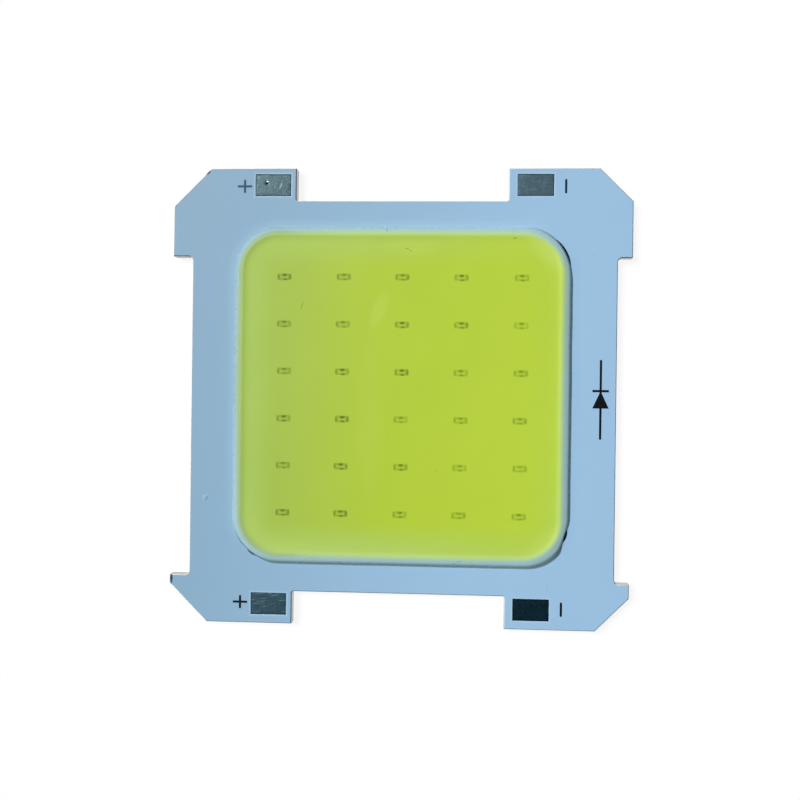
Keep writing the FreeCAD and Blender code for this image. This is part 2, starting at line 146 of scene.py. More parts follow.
@dataclass(frozen=True)
class Layout:
    """Places that the pieces share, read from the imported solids.

    The dam's centre line is a rectangle with round corners about the circuit's centre.
    """

    board: Extent = field(default_factory=lambda: Extent.of("solder_mask"))
    dam: Extent = field(default_factory=lambda: Extent.of("dam_ring"))
    fill: Extent = field(default_factory=lambda: Extent.of("phosphor_fill"))
    first_chip: Extent = field(default_factory=lambda: Extent.of("led_chip_r1_c1"))
    last_chip: Extent = field(default_factory=lambda: Extent.of("led_chip_r6_c5"))
    columns: int = 5
    rows: int = 6
    bead_width: float = 1.2
    corner_radius: float = 3.65

    @property
    def centre(self) -> Vector:
        """Centre of the circuit on the board's face."""
        return Vector((self.dam.centre.x, self.dam.centre.y, self.face))

    @property
    def face(self) -> float:
        """Level of the board's white face."""
        return self.board.high.z

    @property
    def ring_half(self) -> Vector:
        """Half sizes of the dam's centre line."""
        return self.dam.half.xy - Vector((self.bead_width, self.bead_width)) / 2

    @property
    def pitch(self) -> Vector:
        """Distance from one chip column and row to the next."""
        span = self.last_chip.centre - self.first_chip.centre
        return Vector((span.x / (self.columns - 1), -span.y / (self.rows - 1)))

    def beyond(self, point: Vector, axis: int) -> float:
        """How far a point lies past the end of the centre line's straight side along an axis."""
        return abs(point[axis] - self.centre[axis]) - self.ring_half[axis] + self.corner_radius

    def ring_offset(self, point: Vector) -> float:
        """Distance outwards from the dam's centre line, below zero inside it.

        Args:
            point: Place on the board, in millimetres.

        Returns:
            The distance in millimetres.
        """
        beyond_x, beyond_y = self.beyond(point, 0), self.beyond(point, 1)
        outside = math.hypot(max(beyond_x, 0.0), max(beyond_y, 0.0))
        return outside + min(max(beyond_x, beyond_y), 0.0) - self.corner_radius

    def outward(self, point: Vector) -> Vector:
        """Direction in which the distance from the dam's centre line grows.

        Args:
            point: Place on the board, in millimetres.

        Returns:
            The direction, level with the board and of length 1.
        """
        beyond_x, beyond_y = self.beyond(point, 0), self.beyond(point, 1)
        sign_x = math.copysign(1.0, point.x - self.centre.x)
        sign_y = math.copysign(1.0, point.y - self.centre.y)
        if beyond_x > 0 and beyond_y > 0:
            return Vector((beyond_x * sign_x, beyond_y * sign_y, 0.0)).normalized()
        return Vector((sign_x, 0.0, 0.0)) if beyond_x > beyond_y else Vector((0.0, sign_y, 0.0))


@dataclass(frozen=True)
class Spot:
    """Oval mark on a surface, in millimetres; its length lies at an angle from X, in degrees."""

    x: float
    y: float
    half_length: float
    half_width: float
    turn: float = 0.0
    strength: float = 1.0


@dataclass(frozen=True)
class Signal:
    """A value, place or colour that changes over a surface. Arithmetic with it adds nodes to its canvas."""

    canvas: "Canvas"
    socket: bpy.types.NodeSocket

    def __add__(self, other: "Signal | float") -> "Signal":
        """Sum with another value."""
        return self.canvas.math("ADD", self, other)

    def __sub__(self, other: "Signal | float") -> "Signal":
        """Difference from another value."""
        return self.canvas.math("SUBTRACT", self, other)

    def __mul__(self, other: "Signal | float") -> "Signal":
        """Product with another value."""
        return self.canvas.math("MULTIPLY", self, other)

    def __truediv__(self, other: "Signal | float") -> "Signal":
        """Quotient by another value."""
        return self.canvas.math("DIVIDE", self, other)

    def __abs__(self) -> "Signal":
        """Value without its sign."""
        return self.canvas.math("ABSOLUTE", self)

    def high(self, other: "Signal | float") -> "Signal":
        """Greater of this and another value."""
        return self.canvas.math("MAXIMUM", self, other)

    def low(self, other: "Signal | float") -> "Signal":
        """Smaller of this and another value."""
        return self.canvas.math("MINIMUM", self, other)

    def nearest(self) -> "Signal":
        """Nearest whole number."""
        return self.canvas.math("ROUND", self)

    def step(self, start: float, end: float) -> "Signal":
        """Soft step that rises from 0 at start to 1 at end, or falls where end is the smaller.

        Args:
            start: Value at which the step is still 0.
            end: Value at which the step has reached 1.

        Returns:
            The step, from 0 to 1.
        """
        low, high = sorted((start, end))
        last = 1.0 if start < end else 0.0
        limits = {"From Min": low, "From Max": high, "To Min": 1.0 - last, "To Max": last}
        inputs = {"Value": self, **limits}
        return self.canvas.add("MapRange", "Result", inputs, interpolation_type="SMOOTHSTEP")

    def band(self, centre: float, half_width: float) -> "Signal":
        """Soft bump that is 1 at centre and 0 from half_width away."""
        return abs(self - centre).step(half_width, 0.0)


class Canvas:
    """Node tree of a material, world or shared effect, with short calls for the nodes that it uses."""

    def __init__(self, tree: bpy.types.NodeTree) -> None:
        """Draw on the given node tree."""
        self.tree = tree

    def feed(self, socket: bpy.types.NodeSocket, value: object) -> None:
        """Link a signal to an input, or set the input to a plain value.

        Args:
            socket: The input.
            value: Signal or plain value.
        """
        if isinstance(value, Signal):
            self.tree.links.new(value.socket, socket)
        else:
            socket.default_value = value

    def add(self, kind: str, output: int | str, inputs: dict, **settings: object) -> Signal:
        """Add a node.

        Args:
            kind: Blender's type name of the node, without its prefix.
            output: Number or name of the output that is wanted.
            inputs: Signals or plain values by the number or name of the input.
            settings: Attributes to set on the node.

        Returns:
            The wanted output.
        """
        made = self.tree.nodes.new(f"ShaderNode{kind}")
        for name, value in settings.items():
            setattr(made, name, value)
        for socket, value in inputs.items():
            self.feed(made.inputs[socket], value)
        return Signal(self, made.outputs[output])

    def math(self, operation: str, *values: Signal | float) -> Signal:
        """Result of a Math node for the given values."""
        return self.add("Math", 0, dict(enumerate(values)), operation=operation)

    def place(self) -> Signal:
        """Place on the object in millimetres."""
        metres = self.add("TexCoord", "Object", {})
        return self.add("VectorMath", "Vector", {0: metres, "Scale": 1 / MM}, operation="SCALE")

    def split(self, vector: Signal) -> tuple[Signal, ...]:
        """Three signals of a vector."""
        node = self.add("SeparateXYZ", 0, {0: vector}).socket.node
        return tuple(Signal(self, socket) for socket in node.outputs)

    def facing(self) -> tuple[Signal, ...]:
        """Three signals of the direction in which the surface faces."""
        return self.split(self.add("NewGeometry", "True Normal", {}))

    def background_rays(self) -> Signal:
        """1 for rays that show the background: from the camera, a gloss or a glass.

        Returns:
            The value, 0 for every other ray.
        """
        kinds = ("Camera", "Glossy", "Transmission")
        camera, gloss, glass = (self.add("LightPath", f"Is {kind} Ray", {}) for kind in kinds)
        return camera.high(gloss).high(glass)

    def stretch(self, vector: Signal, scale: tuple[float, float, float], turn: float = 0.0) -> Signal:
        """Vector turned about Z by an angle and then scaled along each axis."""
        turned = self.add("VectorRotate", 0, {"Vector": vector, "Angle": turn}, rotation_type="Z_AXIS")
        return self.add("VectorMath", "Vector", {0: turned, 1: scale}, operation="MULTIPLY")

    def noise(self, vector: Signal, scale: Signal | float, detail: float = 2.0) -> Signal:
        """Cloudy value about 0.5, scale being the number of clouds per millimetre."""
        return self.add("TexNoise", 0, {"Vector": vector, "Scale": scale, "Detail": detail})

    def round_box(self, beyond_x: Signal, beyond_y: Signal, radius: Signal | float) -> Signal:
        """Distance outwards from a rectangle with round corners.

        Args:
            beyond_x: Distance past the end of the straight sides that run along X.
            beyond_y: Distance past the end of those that run along Y.
            radius: Radius of the corners.

        Returns:
            The distance, below zero inside.
        """
        square = beyond_x.high(0.0) * beyond_x.high(0.0) + beyond_y.high(0.0) * beyond_y.high(0.0)
        return self.math("SQRT", square) + beyond_x.high(beyond_y).low(0.0) - radius

    def mix(self, share: Signal | float, first: object, second: object) -> Signal:
        """Colour between two colours, the share being that of the second."""
        return self.add("Mix", 2, {0: share, 6: first, 7: second}, data_type="RGBA")

    def shade(self, colour: object, factor: Signal) -> Signal:
        """Colour made lighter or darker by a factor."""
        plain = colour[:3] if isinstance(colour, tuple) else colour
        return self.add("VectorMath", "Vector", {0: plain, "Scale": factor}, operation="SCALE")

    def patch(self, x: Signal, y: Signal, spot: Spot) -> Signal:
        """Soft oval that is 1 in the middle of a spot and 0 outside it, times the spot's strength.

        Args:
            x: Place along X.
            y: Place along Y.
            spot: The spot.

        Returns:
            The oval.
        """
        turn = math.radians(spot.turn)
        cos, sin = math.cos(turn), math.sin(turn)
        off_x, off_y = x - spot.x, y - spot.y
        along = (off_x * cos + off_y * sin) / spot.half_length
        across = (off_y * cos - off_x * sin) / spot.half_width
        return (along * along + across * across).step(1.0, 0.0) * spot.strength

    def dab(self, colour: object, tone: Colour, x: Signal, y: Signal, spots: Iterable[Spot]) -> object:
        """Colour with spots of another tone on it.

        Args:
            colour: Colour without the spots.
            tone: Colour of the spots.
            x: Place along X.
            y: Place along Y.
            spots: The spots.

        Returns:
            The colour with the spots.
        """
        for spot in spots:
            colour = self.mix(self.patch(x, y, spot), colour, tone)
        return colour

    def effect(self, effect: Effect, **values: object) -> dict[str, Signal]:
        """Place a shared effect with its inputs by name; its outputs come back by name."""
        node = self.add("Group", 0, values, node_tree=SharedEffects.group(effect)).socket.node
        return {socket.name: Signal(self, socket) for socket in node.outputs}

    def grain(self, place: Signal, scale: float, amount: float) -> tuple[Signal, Signal]:
        """Factor about 1 and relief of the shared grain."""
        outputs = self.effect(Effect.GRAIN, Place=place, Scale=scale, Amount=amount)
        return outputs["Shade"], outputs["Height"]

    def drift(self, place: Signal, scale: float, first: Colour, second: Colour) -> Signal:
        """Colour that drifts slowly between two colours."""
        return self.effect(Effect.DRIFT, Place=place, Scale=scale, First=first, Second=second)["Color"]

    def scratches(self, place: Signal, turn: float, scale: float, cover: float) -> Signal:
        """Mask of the shared scratches, turned about Z by an angle."""
        turned = self.stretch(place, (1.0, 1.0, 1.0), turn)
        return self.effect(Effect.SCRATCHES, Place=turned, Scale=scale, Cover=cover)["Mask"]

    def coat(
        self,
        colour: Signal,
        roughness: Signal,
        relief: Signal,
        depth: float,
        gloss: float = 0.5,
        metallic: float = 0.0,
    ) -> None:
        """Feed the material's shader.

        Args:
            colour: Base colour.
            roughness: Roughness, from 0 to 1.
            relief: Relief that bends the normal, from 0 to 1.
            depth: Height of the relief in millimetres.
            gloss: Level of the mirror reflection, 0.5 being that of most plastics.
            metallic: 1 for a metal.
        """
        bump = {"Strength": 1.0, "Distance": depth * MM, "Height": relief}
        inputs = {
            "Base Color": colour,
            "Roughness": roughness,
            "Normal": self.add("Bump", "Normal", bump),
            "Specular IOR Level": gloss,
            "Metallic": metallic,
        }
        shader = self.tree.nodes["Principled BSDF"]
        for name, value in inputs.items():
            self.feed(shader.inputs[name], value)


class SharedEffects:
    """Node groups of the shared effects, each built when a finish first asks for it."""

    VECTORS = ("Place", "Centre", "Half")
    COLOURS = ("First", "Second", "Color")

    @classmethod
    def group(cls, effect: Effect) -> bpy.types.NodeTree:
        """Node group of an effect, built once.

        Args:
            effect: Which of the shared effects.

        Returns:
            The group's node tree.
        """
        known = bpy.data.node_groups.get(effect.value)
        if known is not None:
            return known
        inputs, outputs, build = {
            Effect.GRAIN: ("Place Scale Amount", "Height Shade", cls._grain),
            Effect.DRIFT: ("Place Scale First Second", "Color", cls._drift),
            Effect.SCRATCHES: ("Place Scale Cover", "Mask", cls._scratches),
            Effect.RING: ("Place Centre Half Radius", "Distance", cls._ring),
        }[effect]
        tree = bpy.data.node_groups.new(effect.value, "ShaderNodeTree")
        for side, names in (("INPUT", inputs), ("OUTPUT", outputs)):
            for name in names.split():
                kind = "Vector" if name in cls.VECTORS else "Color" if name in cls.COLOURS else "Float"
                tree.interface.new_socket(name=name, in_out=side, socket_type=f"NodeSocket{kind}")
        canvas = Canvas(tree)
        given = [socket for socket in tree.nodes.new("NodeGroupInput").outputs if socket.name]
        made = build(canvas, *(Signal(canvas, socket) for socket in given))
        for socket, signal in zip(tree.nodes.new("NodeGroupOutput").inputs, made):
            canvas.feed(socket, signal)
        return tree

    @staticmethod
    def _grain(canvas: Canvas, place: Signal, scale: Signal, amount: Signal) -> tuple[Signal, ...]:
        """Fine grain: a relief, and a factor about 1 that shades a colour."""
        cloud = canvas.noise(place, scale, 4.0)
        return cloud, (cloud - 0.5) * amount + 1.0

    @staticmethod
    def _drift(
        canvas: Canvas, place: Signal, scale: Signal, first: Signal, second: Signal
    ) -> tuple[Signal, ...]:
        """Slow drift of a surface between two colours."""
        return (canvas.mix(canvas.noise(place, scale).step(0.3, 0.7), first, second),)

    @staticmethod
    def _scratches(canvas: Canvas, place: Signal, scale: Signal, cover: Signal) -> tuple[Signal, ...]:
        """Short fine lines along X, broken by patches; cover says how much of the surface has them.

        Args:
            canvas: Canvas of the group.
            place: Place in millimetres.
            scale: Number of lines per millimetre.
            cover: How much of the surface has them, from 0 to about 0.7.

        Returns:
            The mask.
        """
        lines = canvas.noise(canvas.stretch(place, (0.06, 1.0, 1.0)), scale, 1.0)
        patches = canvas.noise(place, scale * 0.08, 1.0)
        return (lines.step(0.6, 0.72) * (patches + cover).step(0.75, 1.05),)

    @staticmethod
    def _ring(
        canvas: Canvas, place: Signal, centre: Signal, half: Signal, radius: Signal
    ) -> tuple[Signal, ...]:
        """Distance outwards from a rectangle with round corners, as Layout.ring_offset gives it.

        Args:
            canvas: Canvas of the group.
            place: Place in millimetres.
            centre: Centre of the rectangle.
            half: Its half sizes.
            radius: Radius of its corners.

        Returns:
            The distance.
        """
        axes = list(zip(canvas.split(place), canvas.split(centre), canvas.split(half)))[:2]
        beyond = [abs(at - middle) - reach + radius for at, middle, reach in axes]
        return (canvas.round_box(*beyond, radius),)


@dataclass(frozen=True)
class Finish:
    """Material of one kind of surface."""

    name: str

    def material(self) -> bpy.types.Material:
        """The finish as a material, made once.

        Returns:
            The material.
        """
        known = bpy.data.materials.get(self.name)
        if known is not None:
            return known
        made = bpy.data.materials.new(self.name)
        made.use_nodes = True
        self.paint(Canvas(made.node_tree))
        return made

    def paint(self, canvas: Canvas) -> None:
        """Feed the material's shader; each finish has its own way."""
        raise NotImplementedError


@dataclass(frozen=True)
class RingField:
    """Tones that change with the distance from the dam's centre line.

    The phosphor runs out over the bead as a film, further at the plus side than elsewhere. Fading and
    clearing are the distances between which it thins and then leaves the silicone bare. The leans, the
    tilt and the waver move those distances by millimetres, and the last seven values are shares of painted
    light and painted shade on the bead.
    """

    layout: Layout
    plus_film: Colour = seen(169, 197, 145)
    thin_film: Colour = seen(183, 212, 140)
    bare: Colour = seen(167, 200, 206)
    flank_shade: Colour = seen(98, 124, 132)
    fading: tuple[float, float] = (-0.68, -0.16)
    clearing: tuple[float, float] = (-0.3, 0.14)
    side_lean: float = 0.15
    minus_lean: float = 0.05
    end_lean: float = 0.06
    corner_lean: float = 0.14
    tilt: float = 0.08
    waver: float = 0.12
    lee: float = 0.14
    foot_light: float = 0.07
    top_light: float = 0.2
    rim_dim: float = 0.08
    right_shade: float = 0.72
    bottom_shade: float = 0.45
    corner_shade: float = 0.2

    def distance(self, canvas: Canvas, place: Signal) -> Signal:
        """Distance outwards from the dam's centre line at a place."""
        plan = {"Centre": self.layout.centre, "Half": self.layout.ring_half.to_3d()}
        return canvas.effect(Effect.RING, Place=place, Radius=self.layout.corner_radius, **plan)["Distance"]

    def film(self, canvas: Canvas, place: Signal, full: object) -> Signal:
        """Tone of the phosphor film, from its full colour inside to bare silicone outside, with painted
        light and shade on the bead.

        Args:
            canvas: Canvas of the finish.
            place: Place on the object in millimetres.
            full: Colour of the phosphor where it is deep.

        Returns:
            The tone.
        """
        x, y, _ = canvas.split(place)
        half = self.layout.ring_half
        across = (x - self.layout.centre.x) / half.x
        along = (y - self.layout.centre.y) / half.y
        ends = abs(along)
        corners = (ends * abs(across)).step(0.7, 0.95) * (across - along).step(-1.8, -0.6)
        distance = self.distance(canvas, place)
        leaned = distance + across * (ends * -1.0 + 1.15) * self.side_lean
        leaned = leaned + ends * self.end_lean - along * self.tilt
        leaned = leaned + across.step(0.4, 1.0) * self.minus_lean
        leaned = leaned + (canvas.noise(place, 0.7) - 0.5) * self.waver
        leaned = leaned + corners * (along.step(-0.2, 0.6) * 1.3 + 1.0) * self.corner_lean

        thin = canvas.mix(across.step(-0.9, -0.2), self.plus_film, self.thin_film)
        colour = canvas.mix(leaned.step(*self.fading), full, thin)
        colour = canvas.mix(leaned.step(*self.clearing), colour, self.bare)
        # Painted shade and painted light: darker on the plus side's inner flank, lighter along the bottom
        # and on the top outer flank, darker on the outer rim towards the top left.
        side = across.step(-0.5, -0.9) * leaned.band(-0.22, 0.75) * -self.lee
        foot = along.step(-0.85, -0.95) * distance.band(-0.1, 0.4) * self.foot_light
        top = along.step(0.8, 0.95) * abs(across).step(0.8, 0.65)
        top = top * distance.band(0.32, 0.16) * self.top_light
        rim = distance.step(0.15, 0.4) * (along - across).step(0.2, 1.2) * -self.rim_dim
        colour = canvas.shade(colour, side + foot + top + rim + 1.0)

        # Painted shade: the bead's outer flanks at the right, the bottom and the lower corners are darkened
        # where they face away from the key lamp.
        right = across.step(0.8, 1.0) * self.right_shade
        bottom = along.step(-0.8, -0.95) * self.bottom_shade
        corner = corners * along.step(0.0, -0.6) * self.corner_shade
        flank_shade = distance.step(0.02, 0.34) * (right.high(bottom) + corner)
        return canvas.mix(flank_shade, colour, self.flank_shade)


@dataclass(frozen=True)
class MaskFinish(Finish):
    """White solder mask under cool light: an ink lighter towards the minus side and the bottom, with a
    faint peel, worn pale on its rolled edges, which carry a painted highlight on the lit side and painted
    shade on the other.
    """

    layout: Layout
    plus_side: Colour = seen(135, 168, 192, 0.035)
    minus_side: Colour = seen(154, 190, 220, 0.03)
    pale: Colour = seen(170, 204, 222)
    edge_wear_and_highlight: Colour = seen(232, 228, 218)
    edge_shade: Colour = seen(62, 58, 56)
    mark_tone: Colour = seen(48, 62, 76)
    glow_reach: tuple[float, float] = (1.3, 0.55)
    glow: float = 0.16
    halo_reach: tuple[float, float] = (0.22, 0.04)
    halo: float = 0.55
    pad_half: tuple[float, float] = (1.57, 0.95)
    pad_centre: tuple[float, float] = (11.48, 18.41)
    dark_marks: tuple[Spot, ...] = (
        Spot(-17.07, 19.65, 0.34, 0.2, 40.0),
        # Dark patch along the edge of the lower left ear.
        Spot(-19.97, -16.25, 0.62, 0.2, 90.0),
        Spot(13.1, -16.1, 0.5, 0.05, 100.0, 0.12),
        Spot(-16.2, 3.1, 0.35, 0.12, 80.0, 0.06),
        Spot(16.6, 12.4, 0.5, 0.16, 20.0, 0.05),
    )

    def paint(self, canvas: Canvas) -> None:
        """Ink lighter towards the minus side and the bottom, lighter beside the dam as painted light and
        beside the pads, rolled edges worn pale with a painted highlight and painted shade, dark marks and
        peel.

        Args:
            canvas: Canvas of the material.
        """
        place = canvas.place()
        x, y, _ = canvas.split(place)
        half, centre = self.layout.board.half.x, self.layout.centre
        colour = canvas.mix((x - y * 0.25).step(-half * 1.2, half * 0.75), self.plus_side, self.minus_side)
        distance = RingField(self.layout).distance(canvas, place)
        # Painted light: the ink is lighter beside the dam, most towards the top left.
        glow = distance.step(*self.glow_reach) * (y - x).step(-4.0, 14.0) * self.glow
        colour = canvas.mix(glow, colour, self.pale)
        past_x = abs(abs(x - centre.x) - self.pad_centre[0]) - self.pad_half[0]
        past_y = abs(abs(y - centre.y) - self.pad_centre[1]) - self.pad_half[1]
        past_pad = past_x.high(past_y)
        colour = canvas.mix(past_pad.step(*self.halo_reach) * self.halo, colour, self.pale)

        # Rolled edges: pale worn ink with a painted highlight where they face the plus side and the top,
        # and painted shade where they face the minus side and the bottom.
        side_x, side_y, rise = canvas.facing()
        edge_light_and_shade = canvas.mix((side_x * 0.8 - side_y * 0.6).step(-0.1, 0.2), self.edge_wear_and_highlight, self.edge_shade)
        ragged = canvas.noise(place, 1.5, 3.0).step(0.2, 0.5) * 0.5 + 0.5
        colour = canvas.mix(rise.step(0.985, 0.93) * ragged * past_pad.step(0.1, 0.2), colour, edge_light_and_shade)
        colour = canvas.dab(colour, self.mark_tone, x, y, self.dark_marks)
        clouds, _ = canvas.grain(place, 0.35, 0.04)
        peel, relief = canvas.grain(place, 2.2, 0.12)
        canvas.coat(canvas.shade(colour, clouds), peel * 0.5, relief, depth=0.004, gloss=0.3)


@dataclass(frozen=True)
class SiliconeFinish(Finish):
    """White silicone of the dam, with the phosphor's film running out over it."""

    layout: Layout
    film: Colour = seen(170, 198, 94)
    joint: Spot = Spot(-1.13, 14.45, 0.45, 0.07, 97.0, 0.35)

    def paint(self, canvas: Canvas) -> None:
        """Film and bare silicone, with slow ripples along the bead and the joint of its ends.

        Args:
            canvas: Canvas of the material.
        """
        place = canvas.place()
        x, y, _ = canvas.split(place)
        joint = canvas.patch(x, y, self.joint)
        shade, _ = canvas.grain(place, 0.8, 0.06)
        # The film's tones carry painted light and painted shade on the bead's flanks.
        colour = canvas.shade(RingField(self.layout).film(canvas, place, self.film), shade - joint)
        ripple = canvas.noise(place, 1.4, 3.0)
        canvas.coat(colour, ripple * 0.3 + 0.14, ripple - joint, depth=0.014, gloss=0.25)


@dataclass(frozen=True)
class PhosphorFinish(Finish):
    """Phosphor in clear silicone, with the chips showing through as dark outlines.

    The chips lie below the surface, so to the camera they draw in a little towards the focus, the place
    below its lens. The four contact spots are set out from a chip's centre.
    """

    layout: Layout
    plus_side: Colour = seen(162, 189, 83, 0.014)
    middle: Colour = seen(177, 203, 64, 0.014)
    minus_side: Colour = seen(182, 208, 68, 0.014)
    edge: Colour = seen(174, 203, 105, 0.014)
    haze_and_reflection_tone: Colour = seen(192, 218, 104, 0.014)
    mark: Colour = seen(96, 124, 0, 0.014)
    focus: tuple[float, float] = (7.2, -0.09)
    draw_in: float = 0.9945
    mark_half: tuple[float, float] = (0.66, 0.325)
    mark_corner: float = 0.17
    line_half: float = 0.125
    outline: float = 0.33
    inside: float = 0.2
    top: Spot = Spot(0.02, 0.15, 0.3, 0.17, 0.0, 0.87)
    bottom: Spot = Spot(0.07, -0.22, 0.28, 0.13, 0.0, 0.65)
    right: Spot = Spot(0.46, 0.0, 0.2, 0.3, 0.0, 0.45)
    left: Spot = Spot(-0.5, 0.0, 0.15, 0.27, 0.0, 0.35)
    haze_and_reflection: tuple[Spot, ...] = (
        # The first two are painted reflections, soft streaks of a lamp on the gloss; the rest are paler
        # haze.
        Spot(-1.72, 7.55, 2.1, 0.8, 72.0, 0.26),
        Spot(-2.4, -2.0, 8.5, 1.5, 91.0, 0.1),
        Spot(1.23, 13.05, 3.5, 0.9, 0.0, 0.18),
        Spot(13.2, 13.1, 4.2, 1.9, -45.0, 0.6),
        Spot(13.1, -12.8, 3.6, 1.6, 45.0, 0.35),
    )
    flaws: tuple[Spot, ...] = (
        Spot(-8.49, 7.9, 0.5, 0.06, 77.0, 0.5),
        Spot(9.95, 13.85, 0.2, 0.07, 40.0, 0.8),
        Spot(3.43, -6.35, 0.25, 0.05, 15.0, 0.2),
    )

    def chip_marks(self, canvas: Canvas, place: Signal) -> Signal:
        """Darkness of the chips under the phosphor.

        Args:
            canvas: Canvas of the finish.
            place: Place on the object in millimetres.

        Returns:
            The share of the mark's colour, from 0 to 1.
        """
        x, y, _ = canvas.split(place)
        pitch, centre = self.layout.pitch, self.layout.centre
        across = (x - self.focus[0]) / self.draw_in + (self.focus[0] - centre.x)
        along = (y - self.focus[1]) / self.draw_in + (self.focus[1] - centre.y)
        last_column, last_row, half_row = (self.layout.columns - 1) / 2, (self.layout.rows - 1) / 2, 0.5
        column = (across / pitch.x).nearest().high(-last_column).low(last_column)
        row = ((along / pitch.y - half_row).nearest() + half_row).high(-last_row).low(last_row)
        cell = canvas.add("CombineXYZ", 0, {0: column, 1: row})
        chance = canvas.add("TexWhiteNoise", "Color", {"Vector": cell}, noise_dimensions="2D")
        first, second, third = canvas.split(chance)
        u = across - column * pitch.x + (first - 0.5) * 0.08
        v = along - row * pitch.y + (second - 0.5) * 0.04

        past_x = abs(u) - (self.mark_half[0] - self.mark_corner)
        past_y = abs(v) - (self.mark_half[1] - self.mark_corner)
        edge = canvas.round_box(past_x, past_y, self.mark_corner)
        outline = edge.band(-self.line_half, self.line_half * 1.3) * self.outline
        cloud = canvas.noise(place, 4.0).step(0.25, 0.6) * 0.45 + 0.55
        lines = (outline + edge.step(0.02, -0.1) * self.inside) * cloud
        top, bottom, right, left = (
            canvas.patch(u, v, spot) for spot in (self.top, self.bottom, self.right, self.left)
        )
        darkness = lines + (top + bottom) * (second * 0.7 + 0.4) + right * (third * 1.2) + left
        fade = across.step(-14.0, 10.4) * -0.4 + 1.2
        return (darkness * fade * (third * 0.2 + 0.73)).low(1.0)

    def paint(self, canvas: Canvas) -> None:
        """Colour that deepens towards the minus side, a thin skin at the dam that is partly painted light,
        haze and painted reflections, flaws and chips.

        Args:
            canvas: Canvas of the material.
        """
        place = canvas.place()
        x, y, _ = canvas.split(place)
        half = self.layout.fill.half.x
        colour = canvas.mix(x.step(-half * 1.05, half * 0.1), self.plus_side, self.middle)
        colour = canvas.mix(x.step(-half * 0.1, half * 1.05), colour, self.minus_side)
        field_tones = RingField(self.layout)
        near_dam = field_tones.distance(canvas, place).step(-3.6, -0.6)
        # Paler near the dam, most at the plus side and the bottom: partly the thin phosphor there, partly
        # painted light.
        skin_and_light = near_dam * (x.step(half, -half * 0.4) * 0.45 + y.step(-4.0, -half) * 0.35 + 0.12)
        colour = canvas.mix(skin_and_light, colour, self.edge)
        colour = canvas.dab(colour, self.haze_and_reflection_tone, x, y, self.haze_and_reflection)
        colour = canvas.dab(colour, self.mark, x, y, self.flaws)
        colour = canvas.mix(self.chip_marks(canvas, place), colour, self.mark)
        colour = field_tones.film(canvas, place, colour)
        speckle, relief = canvas.grain(place, 9.0, 0.05)
        clouds, _ = canvas.grain(place, 0.22, 0.07)
        colour = canvas.shade(colour, speckle * clouds)
        canvas.coat(colour, relief * 0.2 + 0.3, relief, depth=0.002, gloss=0.14)


@dataclass(frozen=True)
class TinFinish(Finish):
    """Hot-tinned copper that has dulled, with its own tone and wear on each pad."""

    extent: Extent
    tone: Colour
    glint: Colour
    cover: float
    turn: float
    speckle: float
    flecks: float = 0.0
    smears: tuple[Spot, ...] = ()
    highlight_spots: tuple[Spot, ...] = ()
    highlight_tone: Colour = srgb(190, 208, 212)
    roughness: float = 0.4
    edge_reach: float = 0.12
    edge_shadow: float = 0.6

    def paint(self, canvas: Canvas) -> None:
        """Dull tin, darker at its edges with a painted shadow, with pale scratches, smears, flecks, a
        painted highlight and speckle.

        Args:
            canvas: Canvas of the material.
        """
        place = canvas.place()
        x, y, _ = canvas.split(place)
        colour = canvas.mix(canvas.scratches(place, self.turn, 11.0, self.cover), self.tone, self.glint)
        for smear in self.smears:
            share = canvas.patch(x, y, smear) * canvas.noise(place, 5.0, 3.0).step(0.35, 0.6)
            colour = canvas.mix(share, colour, self.glint)
        flecked = canvas.noise(place, 6.5).step(0.54, 0.7) * self.flecks
        colour = canvas.mix(flecked, colour, self.glint)
        # Painted highlight: small bright spots on the tin.
        colour = canvas.dab(colour, self.highlight_tone, x, y, self.highlight_spots)
        grain, relief = canvas.grain(place, 4.5, self.speckle)
        # Painted shadow of the mask's window wall, darkening the pad along its edges.
        across = abs(x - self.extent.centre.x) - self.extent.half.x
        along = abs(y - self.extent.centre.y) - self.extent.half.y
        rim = across.high(along).step(-self.edge_reach, 0.0) * -self.edge_shadow
        colour = canvas.shade(colour, grain + rim)
        canvas.coat(colour, grain * self.roughness, relief, depth=0.008, metallic=1.0)


@dataclass(frozen=True)
class InkFinish(Finish):
    """Screen-printed ink."""

    tone: Colour

    def paint(self, canvas: Canvas) -> None:
        """Matt ink with the weave of the screen in it."""
        weave, relief = canvas.grain(canvas.place(), 9.0, 0.5)
        canvas.coat(canvas.shade(self.tone, weave), weave * 0.5, relief, depth=0.004, gloss=0.05)


